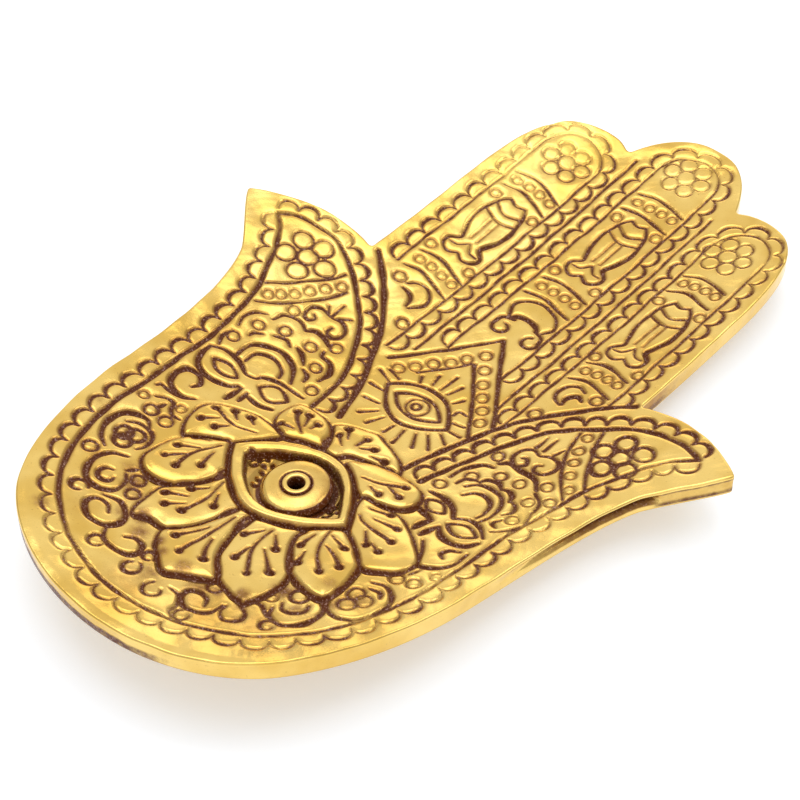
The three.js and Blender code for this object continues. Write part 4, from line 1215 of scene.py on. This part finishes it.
upper_map = (points[:, :2] - SHEET_LOW) / MAP_SPAN
small_map = (points[:, :2] - SHEET_LOW) * SIDE_WIDE / UNDER_SPAN + (SIDE_MAP, MAP_MARGIN)
angle = np.arctan2(points[:, 1] - IRIS_UP, points[:, 0] - IRIS_OUT) / (2 * np.pi) + 0.5
bore_map = np.stack([SIDE_MAP + SIDE_WIDE * angle, BORE_MAP + BORE_TALL * (points[:, 2] > 1)], 1)
where = np.arange(around) * STRIPS / around
strip = np.floor(where)
left, wide = where - strip, STRIPS / around
wall_map = []
for k in range(len(rings)):
    low, high = STRIP_FROM + STRIP_STEP * strip + STRIP_TALL * np.array([[k], [k + 1]]) / len(rings)
    quad = [(left, low), (left, high), (left + wide, high), (left + wide, low)]
    quad_map = [np.stack([SIDE_MAP + SIDE_WIDE * a, b], 1) for a, b in quad]
    wall_map.append(np.stack(quad_map, 1).reshape(-1, 2))
flat_map = np.concatenate(
    [
        corners(top_faces, upper_map),
        *wall_map,
        corners(hem_faces + under_faces, small_map),
        corners(bore_faces, bore_map),
    ]
)
print("map of", len(flat_map), "corners, from", flat_map.min(0).round(3), "to", flat_map.max(0).round(3))

# %% [markdown]
# ## One mesh for the casting
# The hand is one piece of metal, so its skin, wall and underside become one mesh. The two signals for
# its finish could be painted on as colours. Here they are stored as two numbers at each point, one for
# patina and one for stain, and the finish reads them by name, so the wax lies exactly in the cuts. In
# the cove and the eye's opening both numbers also hold painted shade.

# %% Make the hand
UNDER_PATINA, UNDER_STAIN = 0.15, 0.5  # the rough underside is stained evenly


def make_piece(name, points, faces, patina_and_shade, stain_and_shade):
    """A smooth mesh from gauge millimetres, in the CAD's place, with the two signals for its finish."""
    mesh = bpy.data.meshes.new(name)
    mesh.from_pydata(((points + EYE_PLACE) * MM).tolist(), [], faces)
    mesh.polygons.foreach_set("use_smooth", [True] * len(faces))
    for signal, values in (("patina_and_shade", patina_and_shade), ("stain_and_shade", stain_and_shade)):
        attribute = mesh.attributes.new(signal, "FLOAT", "POINT")
        attribute.data.foreach_set("value", np.clip(values, 0, 1).astype(np.float32))
    piece = bpy.data.objects.new(name, mesh)
    bpy.context.scene.collection.objects.link(piece)
    return piece


under = np.ones(len(low_places))
hand_patina_and_shade = [sample(patina_and_shade, top_places), *(ring[2] for ring in rings), UNDER_PATINA * under]
hand_stain_and_shade = [sample(stain_and_shade, top_places), *(ring[3] for ring in rings), UNDER_STAIN * under]
hand_faces = top_faces + wall_faces + hem_faces + under_faces + bore_faces
signals = np.concatenate(hand_patina_and_shade), np.concatenate(hand_stain_and_shade)
hand = make_piece("carved_hand", points, hand_faces, *signals)
hand.data.uv_layers.new(name="OFBake").data.foreach_set("uv", flat_map.ravel())
print("hand of", len(points), "points and", len(hand_faces), "faces; faults mended:", hand.data.validate())

# %% [markdown]
# ## The iris and its sleeve
# On the real holder the iris looks turned and pressed into the eye, and the stick seems to stand in a
# small sleeve inside it. Both are spun from a profile, as on a lathe. A screw modifier would do that
# too, but it couldn't make the rim of the iris a little taller than wide while its shank and socket stay
# round. The rim rolls down and is painted browner as it goes, as shade, and the iris is painted darker
# on its right as shade. Wax fills the joint round the sleeve, and the stick's hole is painted brown with
# wax and shade.

# %% Spinning a profile
TURNS = 120  # points round a turned piece
# Painted shade: the iris is browner on its right, as if in shadow.
SHADED_SIDE = math.radians(5)  # the side of the iris that the polishing wheel reached least
SHADED_SIDE_BROWN = 0.7  # how much browner that side is
IRIS_RADIUS = 5.6  # the head before its rim is stretched
STICK_HOLE, SLEEVE_RADIUS, SOCKET, SHANK = 1.45, 2.5, 2.8, 4.2  # radii, from the stick's hole outwards
IRIS_EDGE, IRIS_CROWN = 1.4, 0.7  # thickness of the rim, and rise from there to the middle
IRIS_ROLL, ROLL_DOWN = 0.9, 0.6  # how far in the rim rolls off, and how far down
FIT_GAP = 0.3  # play between the pieces
SLEEVE_PROUD, SLEEVE_LENGTH = 0.2, 5.0  # how far the sleeve stands out, and how long it is
head_under = float(palm(IRIS_OUT, IRIS_UP)) - POCKET + FIT_GAP
crown_top = head_under + IRIS_EDGE + IRIS_CROWN
sleeve_top = crown_top + SLEEVE_PROUD
sleeve_foot = sleeve_top - SLEEVE_LENGTH
shank_foot = float(dish(IRIS_OUT, IRIS_UP)) - WALL + FIT_GAP
ledge = sleeve_foot - FIT_GAP  # what the sleeve stands on


def spin(name, profile):
    """A turned piece from rows of radius, height, share of oval, patina and stain, with painted shade on
    one side of its oval part.
    """
    radius, height, oval, brown_and_shade, faint_and_shade = np.array(profile, float).T[:, :, None]
    angle = np.linspace(0, 2 * np.pi, TURNS, endpoint=False)[None]
    x = radius * np.cos(angle) * (1 + oval * (IRIS_HALF_WIDE / IRIS_RADIUS - 1)) + IRIS_OUT
    y = radius * np.sin(angle) * (1 + oval * (IRIS_HALF_TALL / IRIS_RADIUS - 1)) + IRIS_UP
    spun = np.stack([x, y, height + 0 * angle], -1).reshape(-1, 3)
    number = np.arange(len(spun)).reshape(len(profile), TURNS)
    after, above = np.roll(number, -1, 1), np.roll(number, -1, 0)
    faces = np.stack([number, after, np.roll(after, -1, 0), above], -1).reshape(-1, 4).tolist()
    shaded_side = 1 + SHADED_SIDE_BROWN * oval * np.cos(angle - SHADED_SIDE)
    return make_piece(name, spun, faces, (brown_and_shade * shaded_side).ravel(), (faint_and_shade * shaded_side).ravel())


iris_rise, sleeve_rise = crown_top + EYE_PLACE[2], sleeve_top + EYE_PLACE[2]
print("iris and sleeve rise", round(iris_rise, 2), "and", round(sleeve_rise, 2), "mm over the floor")

# %% [markdown]
# ## Profiles of the iris and the sleeve
# A profile goes round the cut face of a turned piece, from the hole outwards and back. It could be a
# curve drawn by hand, but numbers tie it to what it fits into. Each row has a radius, a height, how far
# it is stretched to the oval, and its patina and stain. The crown of the iris is a loop, because its
# dome and its rolled rim follow two simple sums. The rest is a few rows, one for each edge that the
# lathe left.

# %% Iris and sleeve
CROWN_ROWS, CROWN_INNER = 18, 3.15  # how many rows the crown has, and the radius where they stop
# Painted shade: the crown's rolled rim grows browner as it falls away, and rows down the stick's hole carry
# brown as wax in the joints and shade in the hole.
crown = []
for radius in np.linspace(IRIS_RADIUS - 0.02, CROWN_INNER, CROWN_ROWS):
    share = (radius - SOCKET) / (IRIS_RADIUS - SOCKET)
    roll = max(0, 1 - (IRIS_RADIUS - radius) / IRIS_ROLL)
    height = crown_top - IRIS_CROWN * share**2 - ROLL_DOWN * roll**2.5
    crown.append((radius, height, ease(share), ease(1.7 * roll - 0.4), max(roll, 0.45)))
iris = spin(
    "turned_iris",
    [
        (STICK_HOLE, shank_foot, 0, 0.4, 0.6),
        (SHANK - 0.2, shank_foot, 0, 0.2, 0.5),
        (SHANK, shank_foot + 0.2, 0, 0.3, 0.6),
        (SHANK, head_under - 0.05, 0, 1, 1),
        (IRIS_RADIUS - 0.3, head_under, 1, 1, 1),
        (IRIS_RADIUS, head_under + 0.3, 1, 1, 1),
        *crown,
        (SOCKET + 0.15, crown_top - 0.02, 0, 0.15, 0.6),
        (SOCKET + 0.02, crown_top - 0.08, 0, 0.6, 1),
        (SLEEVE_RADIUS + 0.06, crown_top - 0.15, 0, 0.9, 1),
        (SLEEVE_RADIUS + 0.06, crown_top - 0.4, 0, 1, 1),
        (SOCKET, crown_top - 0.5, 0, 1, 1),
        (SOCKET, ledge, 0, 1, 1),
        (STICK_HOLE, ledge, 0, 1, 1),
    ],
)
sleeve = spin(
    "stick_sleeve_tube",
    [
        (STICK_HOLE, sleeve_foot, 0, 1, 1),
        (SLEEVE_RADIUS, sleeve_foot, 0, 1, 1),
        (SLEEVE_RADIUS, sleeve_top - 0.4, 0, 1, 1),
        (SLEEVE_RADIUS - 0.1, sleeve_top - 0.15, 0, 0.9, 1),
        (SLEEVE_RADIUS - 0.32, sleeve_top - 0.02, 0, 0.1, 0.5),
        (SLEEVE_RADIUS - 0.45, sleeve_top, 0, 0, 0.2),
        (STICK_HOLE + 0.25, sleeve_top, 0, 0, 0.2),
        (STICK_HOLE + 0.1, sleeve_top - 0.06, 0, 0.2, 0.5),
        (STICK_HOLE, sleeve_top - 0.3, 0, 0.9, 1),
        (STICK_HOLE, sleeve_top - 0.9, 0, 1, 1),
    ],
)
print("iris of", len(iris.data.polygons), "faces, sleeve of", len(sleeve.data.polygons))

# %% [markdown]
# ## Writing a finish as sums
# A finish is a graph of nodes, and drawn by hand it soon becomes a tangle. One small class wraps an
# output of a node, so that a sum such as 1 - patina adds its own Math node. Any other node comes from
# one method, which takes its type, its settings, and the values or links of its inputs.

# %% Signals of a finish
class Signal:
    """An output of a node that can be used in sums."""

    def __init__(self, tree, socket=None):
        self.tree = tree
        self.socket = socket

    def node(self, kind, settings=None, inputs=None, output=0):
        """A new node of a kind, and the signal that comes out of it."""
        made = self.tree.nodes.new(kind)
        for name, value in (settings or {}).items():
            setattr(made, name, value)
        for name, value in (inputs or {}).items():
            if isinstance(value, Signal):
                self.tree.links.new(value.socket, made.inputs[name])
            else:
                made.inputs[name].default_value = value
        return Signal(self.tree, made.outputs[output] if made.outputs else None)

    def sum(self, operation, *values):
        """A Math node on signals or plain numbers."""
        return self.node("ShaderNodeMath", {"operation": operation}, dict(enumerate(values)))

    def __add__(self, other):
        return self.sum("ADD", self, other)

    __radd__ = __add__

    def __mul__(self, other):
        return self.sum("MULTIPLY", self, other)

    __rmul__ = __mul__

    def __sub__(self, other):
        return self.sum("SUBTRACT", self, other)

    def __rsub__(self, other):
        return self.sum("SUBTRACT", other, self)

    def between(self, low, high):
        """0 up to low, 1 from high on, and smooth between them."""
        settings = {"interpolation_type": "SMOOTHSTEP"}
        return self.node("ShaderNodeMapRange", settings, {"Value": self, "From Min": low, "From Max": high})

    def blend(self, before, after):
        """A colour that goes from one to the other as this signal goes from 0 to 1."""
        inputs = {0: self, 6: before, 7: after}
        return self.node("ShaderNodeMix", {"data_type": "RGBA"}, inputs, 2)


print("sums of signals become Math nodes")

# %% [markdown]
# ## Gilt metal with a brown patina
# The metal is gold coloured and polished by hand, so its shine changes from patch to patch, and small
# pits of the casting show. The patina is a purple-brown wax, grainy and a little glossy, with paler
# flecks on it that are painted glints. It fills the cuts, thins out at their edges, and stains the metal
# round them. The same browns also paint shade in the cove, the eye's opening and on the iris. Metallic
# falls where the wax lies, because wax doesn't reflect like metal. Painted pictures could give all
# this, but noise needs no files and stays sharp close up.

# %% Gilt finish
# BROWN and UMBER are the wax and the stained metal, and also the colours of the painted shade in the cove,
# the eye's opening and on the iris.
BROWN = (0.115, 0.026, 0.003, 1)  # wax
# Painted glints: pale flecks on the wax stand in for its glossy reflections.
WAX_GLINT = (0.44, 0.25, 0.19, 1)  # dust in the wax
UMBER = (0.36, 0.15, 0.03, 1)  # stained metal
GRAIN_HEIGHT, GRAIN_STRENGTH = 0.00006, 0.42  # metres, and share of it that shows
WAX_GLOSS = 0.22  # strength of the wax's reflections


def gilt(name, gold, pale, roughness):
    """A polished metal that goes from one gold to a paler one, with wax and painted shade where patina is
    high.
    """
    material = bpy.data.materials.new(name)
    material.use_nodes = True
    tree = material.node_tree
    tree.nodes.clear()
    start = Signal(tree)
    place = start.node("ShaderNodeTexCoord", output="Object")

    def noise(scale, detail):
        inputs = {"Vector": place, "Scale": scale, "Detail": detail, "Roughness": 0.6}
        return start.node("ShaderNodeTexNoise", inputs=inputs)

    cloud, grain, speck = noise(70, 3), noise(650, 4), noise(2600, 3)  # about 14, 1.5 and 0.4 mm across
    # These two signals hold wax and stains, and also painted shade in the cove, the eye's opening and on
    # the iris.
    wax = start.node("ShaderNodeAttribute", {"attribute_name": "patina_and_shade"}, output="Fac")
    faint_and_shade = start.node("ShaderNodeAttribute", {"attribute_name": "stain_and_shade"}, output="Fac")
    brown_and_shade = (wax + (grain - 0.5) * 1.5 * wax).between(0.1, 0.8)
    tint_and_shade = (faint_and_shade * (0.3 + 0.6 * grain + 0.2 * cloud)).between(0.1, 0.75) * 0.8
    metal = tint_and_shade.blend(cloud.between(0.3, 0.7).blend(gold, pale), UMBER)
    pits = speck.between(0.64, 0.76) * 0.6
    colour = brown_and_shade.blend(pits.blend(metal, UMBER), speck.between(0.54, 0.7).blend(BROWN, WAX_GLINT))
    height = grain * 0.7 + speck * (0.3 + 4 * brown_and_shade)
    bump = start.node(
        "ShaderNodeBump",
        inputs={"Strength": GRAIN_STRENGTH, "Distance": GRAIN_HEIGHT, "Height": height},
    )
    shader = start.node(
        "ShaderNodeBsdfPrincipled",
        inputs={
            "Base Color": colour,
            "Roughness": roughness + 0.1 * cloud + 0.1 * tint_and_shade + 0.06 * brown_and_shade,
            "Metallic": 1 - brown_and_shade,
            "Specular IOR Level": WAX_GLOSS,
            "Normal": bump,
        },
    )
    start.node("ShaderNodeOutputMaterial", inputs={"Surface": shader})
    return material


CASTING_GOLD, CASTING_PALE, CASTING_ROUGH = (0.76, 0.475, 0.1, 1), (0.94, 0.66, 0.2, 1), 0.12
SLEEVE_GOLD, SLEEVE_PALE, SLEEVE_ROUGH = (0.86, 0.58, 0.14, 1), (0.92, 0.64, 0.2, 1), 0.1
casting_finish = gilt("gilt_casting", CASTING_GOLD, CASTING_PALE, CASTING_ROUGH)
sleeve_finish = gilt("gilt_sleeve", SLEEVE_GOLD, SLEEVE_PALE, SLEEVE_ROUGH)
for piece, node, slot, finish in (
    (hand, "hand_dish", "gold_casting", casting_finish),
    (iris, "iris_plug", "gold_casting", casting_finish),
    (sleeve, "stick_sleeve", "gold_sleeve", sleeve_finish),
):
    piece.data.materials.append(finish)
    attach(piece, "root")
    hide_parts(node)
    print(piece.name, "stands for", node)

# %% [markdown]
# ## Floor
# The photograph was taken on plain white. The floor is a sheet lit from below, as a light table is, so
# its shadows stay pale. A white background alone would need no floor, but then nothing would carry the
# shadow. The light would also shine up through the stick's hole, so a small black spot is painted on the
# floor under the eye as shadow, and the pupil stays dark from above.

# %% Floor
FLOOR_HALF, FLOOR_DROP = 3.0, 0.0001  # metres
# A painted shadow: a small black spot with no glow lies on the floor under the stick's hole.
SHADOW_SPOT, SHADOW_SPOT_EDGE = 0.0025, 0.004  # radii where the black card ends and where the white is full
SHADOW_BLACK, PAPER, WHITE = (0, 0, 0, 1), (0.81, 0.86, 0.93, 1), (1, 1, 1, 1)
SQUARE = [(-1, -1), (1, -1), (1, 1), (-1, 1)]
TABLE_GLOW = 0.32  # strength of the light from below
floor_mesh = bpy.data.meshes.new("floor")
floor_corners = [(a * FLOOR_HALF, b * FLOOR_HALF, -FLOOR_DROP) for a, b in SQUARE]
floor_mesh.from_pydata(floor_corners, [], [(0, 1, 2, 3)])
floor = bpy.data.objects.new("floor", floor_mesh)
bpy.context.scene.collection.objects.link(floor)
floor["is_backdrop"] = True
white = bpy.data.materials.new("white_floor")
white.use_nodes = True
white.node_tree.nodes.clear()
table = Signal(white.node_tree)
pupil = Vector((EYE_PLACE * (1, 1, 0) + (IRIS_OUT, IRIS_UP, 0)) * MM)
place = table.node("ShaderNodeTexCoord", output="Object")
from_pupil = table.node("ShaderNodeVectorMath", {"operation": "DISTANCE"}, {0: place, 1: pupil}, "Value")
beyond_shadow_spot = from_pupil.between(SHADOW_SPOT, SHADOW_SPOT_EDGE)
surface = table.node(
    "ShaderNodeBsdfPrincipled",
    inputs={
        "Base Color": beyond_shadow_spot.blend(SHADOW_BLACK, PAPER),
        "Roughness": 0.9,
        "Emission Color": beyond_shadow_spot.blend(SHADOW_BLACK, WHITE),
        "Emission Strength": TABLE_GLOW,
    },
)
table.node("ShaderNodeOutputMaterial", inputs={"Surface": surface})
floor_mesh.materials.append(white)
print("floor", 2 * FLOOR_HALF, "m wide, lit from below")

# %% [markdown]
# ## Lamps and room
# Metal shows what is round it, so the lamps matter more here than the colours do. From the photograph's
# side the flat metal mirrors a broad soft lamp beyond the fingers. Smaller ones higher up and overhead
# give the petals, lids and cuts their bright sides, and a warm one low behind lights the rims. Left,
# right and front lamps fill in, so that the hand is gold from every side, and the pale room gives the
# palm its deeper tone. One picture of a studio wrapped round the scene could do as much, but plain
# lamps can be moved one by one.

# %% Lamps and room
ROOM_LIGHT = 0.66
DAY, WARM = (1, 1, 1), (1, 0.88, 0.62)
# Name, azimuth and elevation in degrees, distance and size in metres, power in watts, and colour
LAMPS = [
    ("lamp_sky", 222, 42, 1.2, 1.4, 1.75, DAY),
    ("lamp_above", 218, 69, 1.0, 0.5, 0.75, DAY),
    ("lamp_top", 0, 90, 1.0, 0.8, 2.2, DAY),
    ("lamp_behind", 214, 14, 1.2, 0.5, 0.6, WARM),
    ("lamp_left", 280, 60, 1.0, 0.35, 0.6, DAY),
    ("lamp_right", 150, 52, 1.0, 0.35, 0.7, DAY),
    ("lamp_front", 45, 30, 1.2, 1.0, 1.1, DAY),
]


def bearing(azimuth, elevation):
    """The way from the hand to a place around it; azimuth 0 is in front of the heel, 90 to the right."""
    a, e = math.radians(azimuth), math.radians(elevation)
    return Vector((math.sin(a) * math.cos(e), -math.cos(a) * math.cos(e), math.sin(e)))


def set_up(name, data, target, away, distance):
    """Puts a lamp or a camera at a distance from its target, facing it."""
    body = bpy.data.objects.new(name, data)
    body.location = target + distance * away
    body.rotation_euler = away.to_track_quat("Z", "Y").to_euler()
    bpy.context.scene.collection.objects.link(body)
    return body


for name, azimuth, elevation, distance, size, power, colour in LAMPS:
    light = bpy.data.lights.new(name, "AREA")
    light.size, light.energy, light.color = size, power, colour
    set_up(name, light, (cad_low + cad_high) / 2, bearing(azimuth, elevation), distance)
room = bpy.data.worlds.new("room")
room.use_nodes = True
background = room.node_tree.nodes["Background"]
background.inputs["Color"].default_value = WHITE
background.inputs["Strength"].default_value = ROOM_LIGHT
bpy.context.scene.world = room
bpy.context.scene.view_settings.view_transform = "Standard"
print(len(LAMPS), "lamps in a pale room")

# %% [markdown]
# ## Camera
# The photograph's viewpoint could be matched by eye, but the hand is nearly its own mirror image, and
# from pairs of like points on its two halves the viewpoint can be worked out: the camera stands 43
# degrees to the right of the heel and 45 degrees up, close enough that the fingertips look smaller than
# the heel.

# %% Camera
CAMERA_AZIMUTH, CAMERA_ELEVATION = 42.63, 45.25  # degrees
CAMERA_DISTANCE, CAMERA_LENS, SENSOR = 380.75, 99.0, 36.0  # millimetres
CLIP_START, CLIP_END = 0.01, 20.0  # metres
LOOK_AT = np.array([-3.23, 29.55, 0.0])  # on the gauge
camera_data = bpy.data.cameras.new("camera")
camera_data.lens, camera_data.sensor_width = CAMERA_LENS, SENSOR
camera_data.clip_start, camera_data.clip_end = CLIP_START, CLIP_END
target = Vector((LOOK_AT + EYE_PLACE) * MM)
back = bearing(CAMERA_AZIMUTH, CAMERA_ELEVATION)
camera = set_up("camera", camera_data, target, back, CAMERA_DISTANCE * MM)
bpy.context.scene.camera = camera
print("camera at", [round(n, 4) for n in camera.location])

# %% [markdown]
# ## Does it still fit?
# The dressed hand has to fill the same room as the CAD's solids, or the frame would be of no use. The
# boxes round both could be compared by eye in a viewport, but two rows of numbers are surer.

# %% Sizes and finish
low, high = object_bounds()
{"cad": [list(cad_low), list(cad_high)], "visual": [list(low), list(high)]}
for corner, cad, visual in (("low", cad_low, low), ("high", cad_high, high)):
    print("the", corner, "corner moved by", [round((b - a) / MM, 2) for a, b in zip(cad, visual)], "mm")
